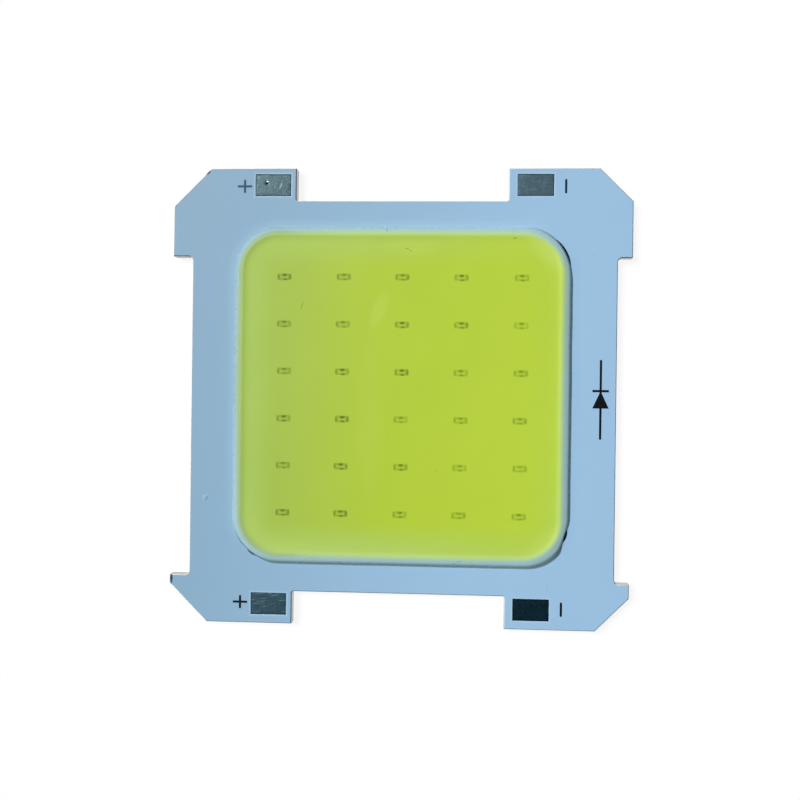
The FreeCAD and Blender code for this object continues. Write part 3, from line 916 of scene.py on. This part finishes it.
@dataclass(frozen=True)
class AluminiumFinish(Finish):
    """Rolled aluminium sheet: lines on its faces, and a torn and a smooth band on its punched edge."""

    thickness: float
    light: Colour = srgb(205, 208, 210)
    dark: Colour = srgb(172, 176, 180)
    torn: Colour = srgb(132, 134, 136)
    scratch_turn: float = math.radians(63)

    def paint(self, canvas: Canvas) -> None:
        """Rolling lines along Y, scratches, and the two bands of the punched edge.

        Args:
            canvas: Canvas of the material.
        """
        place = canvas.place()
        _, _, z = canvas.split(place)
        lines = canvas.noise(canvas.stretch(place, (7.0, 0.15, 1.0)), 1.0, 3.0)
        colour = canvas.shade(canvas.drift(place, 0.12, self.light, self.dark), lines * 0.3 + 0.85)
        scratches = canvas.scratches(place, self.scratch_turn, 3.0, 0.34)
        colour = canvas.mix(scratches * 0.5, colour, self.light)

        on_edge = abs(canvas.facing()[2]).step(0.9, 0.4)
        ragged = canvas.noise(canvas.stretch(place, (1.0, 1.0, 0.2)), 2.0, 3.0) * 0.3
        torn = (z + ragged).step(self.thickness * 0.62, self.thickness * 0.5) * on_edge
        colour = canvas.mix(torn * 0.75, colour, self.torn)
        striae = canvas.noise(canvas.stretch(place, (9.0, 9.0, 0.5)), 1.0, 3.0)
        relief = lines * 0.3 + striae * on_edge + torn * canvas.noise(place, 14.0, 3.0) * 2.0
        canvas.coat(colour, torn * 0.25 + lines * 0.15 + 0.24, relief, depth=0.006, metallic=1.0)


@dataclass(frozen=True)
class PlainFinish(Finish):
    """Plain surface with a drift between two tones and a grain, for the layers and the buried circuit."""

    first: Colour
    second: Colour
    roughness: float
    metallic: float = 0.0
    scale: float = 2.0
    depth: float = 0.004
    gloss: float = 0.5

    def paint(self, canvas: Canvas) -> None:
        """Two tones and a grain.

        Args:
            canvas: Canvas of the material.
        """
        place = canvas.place()
        grain, relief = canvas.grain(place, self.scale * 5, 0.2)
        colour = canvas.shade(canvas.drift(place, self.scale, self.first, self.second), grain)
        canvas.coat(colour, grain * self.roughness, relief, self.depth, self.gloss, self.metallic)


@dataclass(frozen=True)
class FloorFinish(Finish):
    """White floor that still takes a soft shadow."""

    albedo: float = 0.85
    shadow_share: float = 0.15

    def paint(self, canvas: Canvas) -> None:
        """Matt white, mixed with a glow where a ray shows the floor as a background.

        Args:
            canvas: Canvas of the material.
        """
        nodes = canvas.tree.nodes
        nodes.remove(nodes["Principled BSDF"])
        matt = canvas.add("BsdfDiffuse", 0, {"Color": (self.albedo,) * 3 + (1.0,)})
        strength = (1 - self.albedo * self.shadow_share) / (1 - self.shadow_share)
        glow = canvas.add("Emission", 0, {"Strength": strength})
        backdrop = canvas.add("MixShader", 0, {0: self.shadow_share, 1: glow, 2: matt})
        surface = canvas.add("MixShader", 0, {0: canvas.background_rays(), 1: matt, 2: backdrop})
        canvas.feed(nodes["Material Output"].inputs["Surface"], surface)


def make_object(name: str, form: bmesh.types.BMesh, finish: Finish) -> bpy.types.Object:
    """Turn a form into an object of the scene.

    Args:
        name: Name of the object.
        form: Form in millimetres, which is used up.
        finish: Finish of its surface.

    Returns:
        The new object, in metres, with its place in its mesh.
    """
    form.transform(Matrix.Scale(MM, 4))
    mesh = bpy.data.meshes.new(name)
    form.to_mesh(mesh)
    form.free()
    mesh.materials.append(finish.material())
    made = bpy.data.objects.new(name, mesh)
    bpy.context.scene.collection.objects.link(made)
    return made


def add_piece(
    name: str, form: bmesh.types.BMesh, finish: Finish, slot: str, *replaced: str
) -> bpy.types.Object:
    """Turn a form into a piece of the module.

    Args:
        name: Name of the piece.
        form: Closed form in millimetres, which is used up.
        finish: Finish of its surface.
        slot: Material slot of the record that it takes its finish from; not used.
        replaced: CAD nodes that the piece stands for.

    Returns:
        The new object.
    """
    piece = make_object(name, form, finish)
    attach(piece, BODY)
    if replaced:
        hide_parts(*replaced)
    log.info("%s: %d faces", name, len(piece.data.polygons))
    return piece


def dress(node: str, finish: Finish) -> None:
    """Give a CAD node that stays as it is a better material.

    Args:
        node: Name of the CAD node.
        finish: Finish of its surface.
    """
    for material_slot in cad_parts[node].material_slots:
        material_slot.material = finish.material()
    log.info("%s: %s", node, finish.name)


def copy_of(node: str) -> bmesh.types.BMesh:
    """Copy of a CAD node's mesh in millimetres, merged, with its flat faces whole.

    Args:
        node: Name of the CAD node.

    Returns:
        The copy, which is free to be changed.
    """
    form = bmesh.new()
    form.from_mesh(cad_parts[node].data)
    form.transform(Matrix.Scale(1 / MM, 4))
    bmesh.ops.remove_doubles(form, verts=form.verts, dist=MERGE_DISTANCE)
    bmesh.ops.dissolve_limit(form, angle_limit=FLAT_ANGLE, verts=form.verts, edges=form.edges)
    return form


def sheet(
    cells: tuple[int, int],
    half: Vector | Sequence[float] = (1.0, 1.0),
    centre: Sequence[float] = (0.0, 0.0, 0.0),
) -> bmesh.types.BMesh:
    """Make a level rectangle.

    Args:
        cells: Number of cells along X and along Y.
        half: Half sizes along X and along Y.
        centre: Place of its middle.

    Returns:
        The form.
    """
    form = bmesh.new()
    bmesh.ops.create_grid(form, x_segments=cells[0], y_segments=cells[1], size=1.0)
    bmesh.ops.scale(form, verts=form.verts, vec=(half[0], half[1], 1.0))
    bmesh.ops.translate(form, verts=form.verts, vec=centre)
    return form


def only(kind: type, items: Iterable[object]) -> list:
    """Those of the items that are of one kind."""
    return [item for item in items if isinstance(item, kind)]


def smooth(faces: Iterable[bmesh.types.BMFace]) -> None:
    """Shade faces as one curved surface."""
    for face in faces:
        face.smooth = True


def soften(
    form: bmesh.types.BMesh, level: float, radius: float, steps: int, wanted: Callable[[Vector], bool]
) -> None:
    """Round the upright walls' edges that lie at one level.

    Args:
        form: Form to change.
        level: Height of the edges.
        radius: Radius of the rounding.
        steps: Number of facets round it.
        wanted: Says whether an edge with that middle is rounded.
    """
    chosen = []
    for edge in form.edges:
        middle = (edge.verts[0].co + edge.verts[1].co) / 2
        if any(abs(vertex.co.z - level) > MERGE_DISTANCE * 10 for vertex in edge.verts):
            continue
        upright = [abs(face.normal.z) < 0.5 for face in edge.link_faces]
        if sorted(upright) == [False, True] and wanted(middle):
            chosen.append(edge)
    rounded = bmesh.ops.bevel(
        form, geom=chosen, offset=radius, segments=steps, profile=0.5, affect="EDGES", material=-1
    )
    smooth(rounded["faces"])


def thicken(form: bmesh.types.BMesh, height: float) -> tuple[list, list]:
    """Close a level sheet into a plate by raising a copy of it.

    Args:
        form: Form that holds only the sheet.
        height: Distance from the sheet to its raised copy.

    Returns:
        The faces and the vertices of the raised copy.
    """
    raised = bmesh.ops.extrude_face_region(form, geom=form.faces[:], use_keep_orig=True)["geom"]
    corners = only(bmesh.types.BMVert, raised)
    bmesh.ops.translate(form, verts=corners, vec=(0, 0, height))
    bmesh.ops.recalc_face_normals(form, faces=form.faces)
    return only(bmesh.types.BMFace, raised), corners


@dataclass
class CarrierBoard:
    """Aluminium plate, its insulating layer, and the white solder mask over both."""

    layout: Layout
    mask_roll: float = 0.09
    window_roll: float = 0.03
    plate_roll: float = 0.05
    margin: float = MERGE_DISTANCE * 20
    pads: list[Extent] = field(
        default_factory=lambda: [Extent.of(pad_node(pole, end)) for pole in Pole for end in End]
    )

    def at_pad(self, middle: Vector) -> bool:
        """Whether a place on the mask's face is at the window of a solder pad.

        Args:
            middle: The place, in millimetres.

        Returns:
            Whether it is inside a pad's outline, or past it by no more than the margin.
        """
        near = [
            abs(middle.x - pad.centre.x) <= pad.half.x + self.margin
            and abs(middle.y - pad.centre.y) <= pad.half.y + self.margin
            for pad in self.pads
        ]
        return any(near)

    def on_outline(self, middle: Vector) -> bool:
        """Whether a place on the mask's face is on the outline of the board, not at a window."""
        return not self.at_pad(middle) and self.layout.ring_offset(middle) > 0

    def build(self) -> None:
        """Make the mask and the plate with their edges rolled over, and dress the layer between."""
        mask = copy_of("solder_mask")
        soften(mask, self.layout.face, self.window_roll, 2, self.at_pad)
        soften(mask, self.layout.face, self.mask_roll, 4, self.on_outline)
        finish = MaskFinish("white_solder_mask", self.layout)
        add_piece("white_mask", mask, finish, "white_mask", "solder_mask")

        extent = Extent.of("base_plate")
        plate = copy_of("base_plate")
        for level in (extent.low.z, extent.high.z):
            soften(plate, level, self.plate_roll, 2, lambda middle: True)
        finish = AluminiumFinish("punched_aluminium", extent.high.z)
        add_piece("aluminium_plate", plate, finish, "aluminium_plate", "base_plate")

        layer = PlainFinish("filled_dielectric", srgb(196, 200, 190), srgb(170, 176, 168), 0.6)
        dress("dielectric_layer", layer)


@dataclass(frozen=True)
class HandLaid:
    """Small ways in which the bead as laid strays from its plan, which the phosphor on it shares."""

    layout: Layout
    wander: float = 0.03
    swell: float = 0.01
    crest_shift: tuple[float, float] = (-0.07, 0.07)
    bottom_shift: float = 0.1

    def stray(self, point: Vector) -> Vector:
        """Move a point of the plan to its place on the bead as laid.

        Args:
            point: Place on the bead or on the phosphor over it, in millimetres.

        Returns:
            The place as laid.
        """
        along = Vector((point.x, point.y, 0.0)) * 0.35
        rise = (point.z - self.layout.face) / (self.layout.dam.high.z - self.layout.face)
        moved = point + self.layout.outward(point) * noise.noise(along) * self.wander
        moved += Vector((*self.crest_shift, 0.0)) * rise
        moved.y -= self.bottom_shift * max(-point.y / self.layout.ring_half.y, 0.0)
        moved.z += (noise.noise(along * 1.7 + Vector((0, 0, 7))) - 0.5) * self.swell * rise
        return moved


@dataclass(frozen=True)
class LiftedEdge:
    """Stretch of a round corner where the bead's outer edge has come off the board.

    The angles are in degrees round the corner's centre, from X. The foot is the distance from the
    bead's centre line at which the dark gap, a painted shadow, begins, and the width is that of the gap.
    The bead begins to draw in a few degrees beyond the gap's ends.
    """

    name: str
    corner: tuple[int, int]
    start: float
    end: float
    foot: float
    width: float
    approach: float = 14.0

    def opening(self, angle: float, approach: float = 0.0) -> float:
        """How far the edge has lifted at an angle.

        Args:
            angle: Angle round the corner's centre in degrees.
            approach: Degrees by which the lifted stretch is longer at either end.

        Returns:
            The share of the full lift, from 0 at the stretch's ends to 1 in its middle.
        """
        share = (angle - self.start + approach) / (self.end - self.start + 2 * approach)
        return math.sin(math.pi * share) ** 0.8 if 0 < share < 1 else 0.0


@dataclass
class SiliconeDam:
    """Bead of white silicone, laid round the field in one go.

    The section is a list of places across the bead: the distance outwards from the centre line and the
    height over the board's face. It leans inwards, and its outer foot runs out thin into the face.
    """

    layout: Layout
    section: tuple[tuple[float, float], ...] = (
        (-0.6, -0.09),
        (-0.6, 0.3),
        (-0.58, 0.52),
        (-0.51, 0.62),
        (-0.4, 0.648),
        (-0.25, 0.613),
        (-0.08, 0.55),
        (0.1, 0.445),
        (0.19, 0.37),
        (0.26, 0.27),
        (0.315, 0.15),
        (0.36, 0.057),
        (0.42, 0.011),
        (0.5, -0.035),
        (0.6, -0.09),
    )
    foot: float = 0.48
    lifts: tuple[LiftedEdge, ...] = (
        LiftedEdge("top_right", (1, 1), 6.0, 54.0, 0.28, 0.105),
        LiftedEdge("bottom_right", (1, -1), -35.5, -3.5, 0.01, 0.34, 1.5),
        LiftedEdge("bottom_left", (-1, -1), 224.0, 245.0, 0.29, 0.15),
    )
    gap_height: float = 0.006
    gap_overlap: float = 0.06
    gap_cells: int = 30
    flank_start: float = 0.08
    corner_spread: float = 0.2
    side_step: float = 0.5
    corner_steps: int = 14

    def sweep(self, form: bmesh.types.BMesh) -> None:
        """Carry the section round the centre line: along each side, then round its corner.

        Args:
            form: Empty form to build the bead in.
        """
        radius, face = self.layout.corner_radius, self.layout.face
        half = self.layout.ring_half
        corner = half - Vector((radius, radius))
        start = Vector((-corner.x, half.y))
        points = [form.verts.new((start.x, start.y + out, face + up)) for out, up in self.section]
        edges = [form.edges.new(pair) for pair in zip(points, points[1:] + points[:1])]
        quarter = math.radians(90)
        for side, signs in enumerate(((1, 1), (1, -1), (-1, -1), (-1, 1))):
            length = 2 * (corner.x if side % 2 == 0 else corner.y)
            steps = round(length / self.side_step)
            stride = Matrix.Rotation(-quarter * side, 3, "Z") @ Vector((length / steps, 0.0, 0.0))
            straight = {"cent": (0, 0, 0), "axis": (0, 0, 1), "dvec": stride, "angle": 0, "steps": steps}
            pivot = (corner.x * signs[0], corner.y * signs[1], 0.0)
            bend = {"cent": pivot, "axis": (0, 0, -1), "angle": quarter, "steps": self.corner_steps}
            for path in (straight, bend):
                swept = bmesh.ops.spin(form, geom=edges, **path)
                edges = only(bmesh.types.BMEdge, swept["geom_last"])
        bmesh.ops.remove_doubles(form, verts=form.verts, dist=MERGE_DISTANCE * 10)
        centre = self.layout.centre
        bmesh.ops.translate(form, verts=form.verts, vec=(centre.x, centre.y, 0.0))
        bmesh.ops.recalc_face_normals(form, faces=form.faces)

    def corner_centre(self, lift: LiftedEdge) -> Vector:
        """Centre of the round corner of a lifted edge."""
        inner = self.layout.ring_half - Vector((self.layout.corner_radius,) * 2)
        return self.layout.centre + Vector((inner.x * lift.corner[0], inner.y * lift.corner[1], 0.0))

    def loosen(self, form: bmesh.types.BMesh) -> None:
        """Draw the bead in at its lifted edges, spread its last corner, and let it stray from its plan.

        Args:
            form: Form that holds the swept bead.
        """
        laid = HandLaid(self.layout)
        reach = self.foot - self.flank_start
        for vertex in form.verts:
            out = self.layout.outward(vertex.co)
            flank = max(self.layout.ring_offset(vertex.co) - self.flank_start, 0.0)
            for lift in self.lifts:
                arm = vertex.co - self.corner_centre(lift)
                angle = math.degrees(math.atan2(arm.y, arm.x))
                angle += 360 if angle < lift.start - 90 else 0
                pull = (self.foot - lift.foot) * lift.opening(angle, lift.approach)
                vertex.co -= out * pull * flank / reach
            spread = 2 * max(out.x, 0.0) * max(-out.y, 0.0) * self.corner_spread
            vertex.co += out * spread * min(flank / reach, 1.0)
            vertex.co = laid.stray(vertex.co)

    def build_gap_shadow(self, lift: LiftedEdge) -> None:
        """Make the dark crescent, a painted shadow, under a lifted edge.

        Args:
            lift: The lifted edge.
        """
        form = sheet((self.gap_cells, 1))
        centre = self.corner_centre(lift)
        for vertex in form.verts:
            angle = lift.start + (lift.end - lift.start) * (vertex.co.x + 1) / 2
            spread = lift.width * lift.opening(angle) * (vertex.co.y + 1) / 2
            rim = spread if vertex.co.y > 0 else -self.gap_overlap
            turn = math.radians(angle)
            arm = Vector((math.cos(turn), math.sin(turn), 0.0))
            vertex.co = centre + arm * (self.layout.corner_radius + lift.foot + rim)
        bmesh.ops.recalc_face_normals(form, faces=form.faces)
        thicken(form, self.gap_height)
        dark = PlainFinish("shadowed_gap", srgb(3, 9, 15), srgb(12, 24, 32), 0.9, gloss=0.0)
        add_piece(f"dam_gap_shadow_{lift.name}", form, dark, "white_silicone")

    def build(self) -> None:
        """Make the bead and the painted shadows in the gaps under its lifted edges."""
        form = bmesh.new()
        self.sweep(form)
        self.loosen(form)
        smooth(form.faces)
        finish = SiliconeFinish("dam_silicone", self.layout)
        piece = add_piece("silicone_dam", form, finish, "white_silicone", "dam_ring")
        rounding = piece.modifiers.new("rounding", "SUBSURF")
        rounding.levels = rounding.render_levels = 1
        for lift in self.lifts:
            self.build_gap_shadow(lift)


@dataclass
class PhosphorPool:
    """Phosphor silicone poured inside the dam; it wets the bead and runs out over its crest as a film.

    The profile lists the height over the board's face at distances outwards from the dam's centre line,
    from the outer end of the film to the level middle. Inside the hold the surface stays as planned, and
    outside it the surface strays with the bead.
    """

    layout: Layout
    corner_steps: int = 22
    profile: tuple[tuple[float, float], ...] = (
        (-0.02, 0.49),
        (-0.1, 0.551),
        (-0.18, 0.588),
        (-0.26, 0.617),
        (-0.34, 0.637),
        (-0.42, 0.645),
        (-0.5, 0.64),
        (-0.58, 0.626),
        (-0.67, 0.608),
        (-0.77, 0.592),
        (-0.9, 0.579),
        (-1.06, 0.57),
        (-1.3, 0.564),
        (-1.7, 0.56),
    )
    side_cuts: int = 48
    hold: tuple[float, float] = (-1.3, -0.6)

    def build(self) -> None:
        """Make the pool: a plate with round corners whose top follows the profile inwards."""
        (reach, height), *inner = self.profile
        form = sheet((1, 1), self.layout.ring_half + Vector((reach, reach)))
        bmesh.ops.bevel(
            form,
            geom=form.verts[:],
            offset=self.layout.corner_radius + reach,
            segments=self.corner_steps,
            profile=0.5,
            affect="VERTICES",
            material=-1,
        )
        sides = [edge for edge in form.edges if edge.calc_length() > self.layout.corner_radius]
        bmesh.ops.subdivide_edges(form, edges=sides, cuts=self.side_cuts)
        top, _ = thicken(form, height)
        for distance, level in inner:
            ring = bmesh.ops.inset_region(
                form, faces=top, thickness=reach - distance, depth=level - height, use_even_offset=True
            )
            reach, height = distance, level
            smooth(ring["faces"])
        bmesh.ops.translate(form, verts=form.verts, vec=self.layout.centre)
        laid = HandLaid(self.layout)
        start, end = self.hold
        for vertex in form.verts:
            share = min(max((self.layout.ring_offset(vertex.co) - start) / (end - start), 0.0), 1.0)
            vertex.co = vertex.co.lerp(laid.stray(vertex.co), share)
        finish = PhosphorFinish("phosphor_gel", self.layout)
        add_piece("phosphor_pool", form, finish, "phosphor_silicone", "phosphor_fill")


@dataclass
class SolderPads:
    """Four tinned pads, each slightly domed by surface tension and worn in its own way."""

    cells: tuple[int, int] = (48, 28)
    dome: float = 0.012
    ripple: float = 0.004
    pit: tuple[float, float] = (-11.83, 18.69)
    pit_radius: float = 0.13
    pit_depth: float = 0.05
    smear: Spot = Spot(-10.57, 18.55, 0.5, 0.12, 75.0, 0.7)
    # Painted highlight at the upper rim of the pit.
    highlight_spot: Spot = Spot(-11.79, 18.83, 0.12, 0.07, 20.0, 0.9)

    def finish(self, pole: Pole, end: End) -> TinFinish:
        """Finish of one pad: paler at the long ears, darker at the short ones.

        Args:
            pole: Electrical side of the pad.
            end: End of the module that it is at.

        Returns:
            The finish.
        """
        smear_and_highlight = ((self.smear,), (self.highlight_spot,))
        looks = {
            (Pole.PLUS, End.TOP): (srgb(46, 60, 64), srgb(88, 106, 110), 0.1, 1.2, 1.4, 0.3, *smear_and_highlight),
            (Pole.MINUS, End.TOP): (srgb(53, 70, 78), srgb(68, 87, 96), 0.7, 0.02, 0.5),
            (Pole.PLUS, End.BOTTOM): (srgb(38, 57, 66), srgb(72, 95, 102), 0.56, -0.14, 0.6, 0.15),
            (Pole.MINUS, End.BOTTOM): (srgb(10, 28, 37), srgb(22, 48, 54), 0.3, 0.5, 0.9, 0.5),
        }
        extent = Extent.of(pad_node(pole, end))
        return TinFinish(f"tin_{pole.value}_{end.value}", extent, *looks[(pole, end)])

    def build_pad(self, pole: Pole, end: End) -> None:
        """Make one pad from a fine grid, raised off its land and domed.

        Args:
            pole: Electrical side of the pad.
            end: End of the module that it is at.
        """
        node = pad_node(pole, end)
        extent = Extent.of(node)
        centre, half = extent.centre, extent.half
        form = sheet(self.cells, half, (centre.x, centre.y, extent.low.z))
        _, lifted = thicken(form, extent.high.z - extent.low.z)
        for vertex in lifted:
            off = max(abs((vertex.co.x - centre.x) / half.x), abs((vertex.co.y - centre.y) / half.y))
            wave = noise.noise(vertex.co * 1.6) * self.ripple
            from_pit = (vertex.co.xy - Vector(self.pit)).length / self.pit_radius
            sink = self.dome * off**6 + self.pit_depth * math.exp(-(from_pit**2))
            vertex.co.z = extent.high.z - self.ripple + wave - sink
        for face in form.faces:
            face.smooth = face.normal.z > 0.5
        add_piece(f"tin_pad_{pole.value}_{end.value}", form, self.finish(pole, end), "tin", node)

    def build(self) -> None:
        """Make the four pads."""
        for pole in Pole:
            for end in End:
                self.build_pad(pole, end)


@dataclass
class PrintedMarks:
    """Printed plus and minus signs and the diode symbol."""

    def build(self) -> None:
        """Dress the ink, which was printed thinner at the long ears."""
        inks = {
            "plus_sign_top": InkFinish("thin_ink", srgb(64, 91, 110)),
            "minus_sign_top": InkFinish("slate_ink", srgb(28, 50, 66)),
            "plus_sign_bottom": InkFinish("dark_ink", srgb(12, 24, 32)),
            "minus_sign_bottom": InkFinish("black_ink", srgb(2, 8, 14)),
            "diode_symbol": InkFinish("printed_ink", srgb(5, 11, 17)),
        }
        for node, ink in inks.items():
            dress(node, ink)


@dataclass(frozen=True)
class Fibre:
    """Hair-thin fibre that has settled on the surface, in millimetres."""

    name: str
    start: tuple[float, float, float]
    end: tuple[float, float, float]
    radius: float
    bend: float
    slot: str
    taper: float = 0.6
    sides: int = 8
    cuts: int = 9

    def build(self, finish: Finish) -> None:
        """Make the fibre: a thin cylinder with fine ends, bent sideways in its middle.

        Args:
            finish: Finish of its surface.
        """
        start, end = Vector(self.start), Vector(self.end)
        run = end - start
        form = bmesh.new()
        bmesh.ops.create_cone(
            form,
            cap_ends=True,
            segments=self.sides,
            radius1=self.radius,
            radius2=self.radius * self.taper,
            depth=run.length,
        )
        walls = [edge for edge in form.edges if abs(edge.verts[0].co.z - edge.verts[1].co.z) > self.radius]
        bmesh.ops.subdivide_edges(form, edges=walls, cuts=self.cuts)
        for vertex in form.verts:
            vertex.co.x += self.bend * math.cos(math.pi * vertex.co.z / run.length)
        turn = run.to_track_quat("Z", "Y").to_matrix().to_4x4()
        form.transform(Matrix.Translation((start + end) / 2) @ turn)
        smooth(form.faces)
        add_piece(self.name, form, finish, self.slot)


@dataclass
class Blemishes:
    """Small flaws that stand on the surfaces: two fibres, and a blister in the solder mask."""

    layout: Layout
    phosphor_fibre: Fibre = Fibre(
        "fibre_on_phosphor", (0.46, 12.97, 1.795), (1.05, 12.67, 1.8), 0.028, 0.05, "phosphor_silicone"
    )
    dam_fibre: Fibre = Fibre(
        "fibre_on_dam", (4.93, -14.45, 1.62), (5.63, -14.1, 1.81), 0.025, 0.04, "white_silicone"
    )
    blister_place: tuple[float, float] = (-16.97, -9.05)
    blister_half: tuple[float, float, float] = (0.3, 0.36, 0.1)
    blister_sink: float = 0.72

    def build_blister(self) -> None:
        """Make the blister: a low dome whose rim goes under the mask's face."""
        form = bmesh.new()
        bmesh.ops.create_uvsphere(form, u_segments=28, v_segments=16, radius=1.0)
        bmesh.ops.scale(form, verts=form.verts, vec=self.blister_half)
        level = self.layout.face - self.blister_half[2] * self.blister_sink
        bmesh.ops.translate(form, verts=form.verts, vec=(*self.blister_place, level))
        smooth(form.faces)
        add_piece("mask_blister", form, MaskFinish("white_solder_mask", self.layout), "white_mask")

    def build(self) -> None:
        """Make the fibres and the blister."""
        self.phosphor_fibre.build(PlainFinish("olive_fibre", srgb(134, 160, 56), srgb(112, 138, 40), 0.6))
        self.dam_fibre.build(PlainFinish("grey_fibre", srgb(92, 118, 132), srgb(70, 92, 104), 0.6))
        self.build_blister()


@dataclass
class BuriedCircuit:
    """Chips, their joints and the copper lands, which show only in section or from the edge."""

    layout: Layout

    def build(self) -> None:
        """Dress the buried nodes."""
        chip = PlainFinish("sapphire_chip", srgb(198, 204, 150), srgb(160, 170, 120), 0.2, 0.0, 4.0, 0.002)
        solder = PlainFinish("chip_solder", srgb(176, 178, 180), srgb(140, 143, 146), 0.35, 1.0, 6.0)
        copper = PlainFinish("land_copper", srgb(200, 122, 86), srgb(172, 98, 66), 0.35, 1.0, 1.0)
        for row in range(1, self.layout.rows + 1):
            dress(f"chip_solder_row_{row}", solder)
            for column in range(1, self.layout.columns + 1):
                dress(f"led_chip_r{row}_c{column}", chip)
        for name in (*range(1, self.layout.columns), *(pole.value for pole in Pole)):
            dress(f"copper_land_{name}", copper)


@dataclass(frozen=True)
class Lamp:
    """Soft far lamp: its height and heading in degrees, its size in the sky, and its share of the light.

    The share is that of the light on a level surface, where all of the studio's shares make 1.
    """

    name: str
    elevation: float
    heading: float
    spread: float
    share: float

    def build(self) -> None:
        """Hang the lamp."""
        data = bpy.data.lights.new(self.name, "SUN")
        height, heading = math.radians(self.elevation), math.radians(self.heading)
        data.energy = self.share * math.pi / math.sin(height)
        data.angle = math.radians(self.spread)
        level = math.cos(height)
        source = Vector((math.cos(heading) * level, math.sin(heading) * level, math.sin(height)))
        lamp = bpy.data.objects.new(self.name, data)
        lamp.rotation_mode = "QUATERNION"
        lamp.rotation_quaternion = (-source).to_track_quat("-Z", "Y")
        lamp.location = source * 0.5
        bpy.context.scene.collection.objects.link(lamp)


@dataclass
class Studio:
    """Pale floor, soft lamps on the plus side, even fill, and the camera.

    The camera is given by the place of its lens, the point on the board's face that it looks at and
    its roll. Its numbers are for a square picture.
    """

    layout: Layout
    lens_place: tuple[float, float, float] = (7.199, -0.086, 100.98)
    aim: tuple[float, float] = (0.151, -0.232)
    roll: float = math.radians(0.7193)
    focal_length: float = 51.56
    sensor_width: float = 36.0
    nearest: float = 1.0
    farthest: float = 10000.0
    fill_level: float = 0.1
    lamps: tuple[Lamp, ...] = (
        Lamp("key", 60.0, 148.0, 26.0, 0.87),
        Lamp("window", 28.0, 176.0, 14.0, 0.03),
    )
    floor_half: float = 450.0
    floor_drop: float = 0.02

    def build_camera(self) -> None:
        """Camera at the photograph's viewing angle."""
        data = bpy.data.cameras.new("camera")
        data.lens = self.focal_length
        data.sensor_width = self.sensor_width
        data.clip_start = self.nearest * MM
        data.clip_end = self.farthest * MM
        camera = bpy.data.objects.new("camera", data)
        place = Vector(self.lens_place)
        back = (place - Vector((*self.aim, self.layout.face))).normalized()
        up = back.cross(Vector((1, 0, 0))).normalized()
        upright = Matrix((up.cross(back), up, back)).transposed()
        camera.rotation_mode = "QUATERNION"
        camera.rotation_quaternion = upright.to_quaternion() @ Quaternion((0, 0, 1), self.roll)
        camera.location = place * MM
        bpy.context.scene.collection.objects.link(camera)
        bpy.context.scene.camera = camera

    def build_world(self) -> None:
        """Even fill light behind a white background."""
        world = bpy.data.worlds.new("studio")
        world.use_nodes = True
        canvas = Canvas(world.node_tree)
        background = world.node_tree.nodes["Background"]
        background.inputs["Color"].default_value = (1, 1, 1, 1)
        strength = canvas.background_rays() * (1 - self.fill_level) + self.fill_level
        canvas.feed(background.inputs["Strength"], strength)
        bpy.context.scene.world = world

    def build_floor(self) -> None:
        """Lay the floor just below the module."""
        form = sheet((8, 8), (self.floor_half, self.floor_half), (0.0, 0.0, -self.floor_drop))
        floor = make_object("floor", form, FloorFinish("white_floor"))

    def build(self) -> None:
        """Set up the studio."""
        bpy.context.scene.view_settings.view_transform = "Standard"
        self.build_camera()
        for lamp in self.lamps:
            lamp.build()
        self.build_world()
        self.build_floor()


def main() -> None:
    """Build the studio and every part of the module in order."""
    logging.basicConfig(level=logging.INFO, format="%(name)s: %(message)s")
    layout = Layout()
    for part in (
        Studio(layout),
        CarrierBoard(layout),
        SiliconeDam(layout),
        PhosphorPool(layout),
        SolderPads(),
        PrintedMarks(),
        Blemishes(layout),
        BuriedCircuit(layout),
    ):
        part.build()


if __name__ == "__main__":
    main()
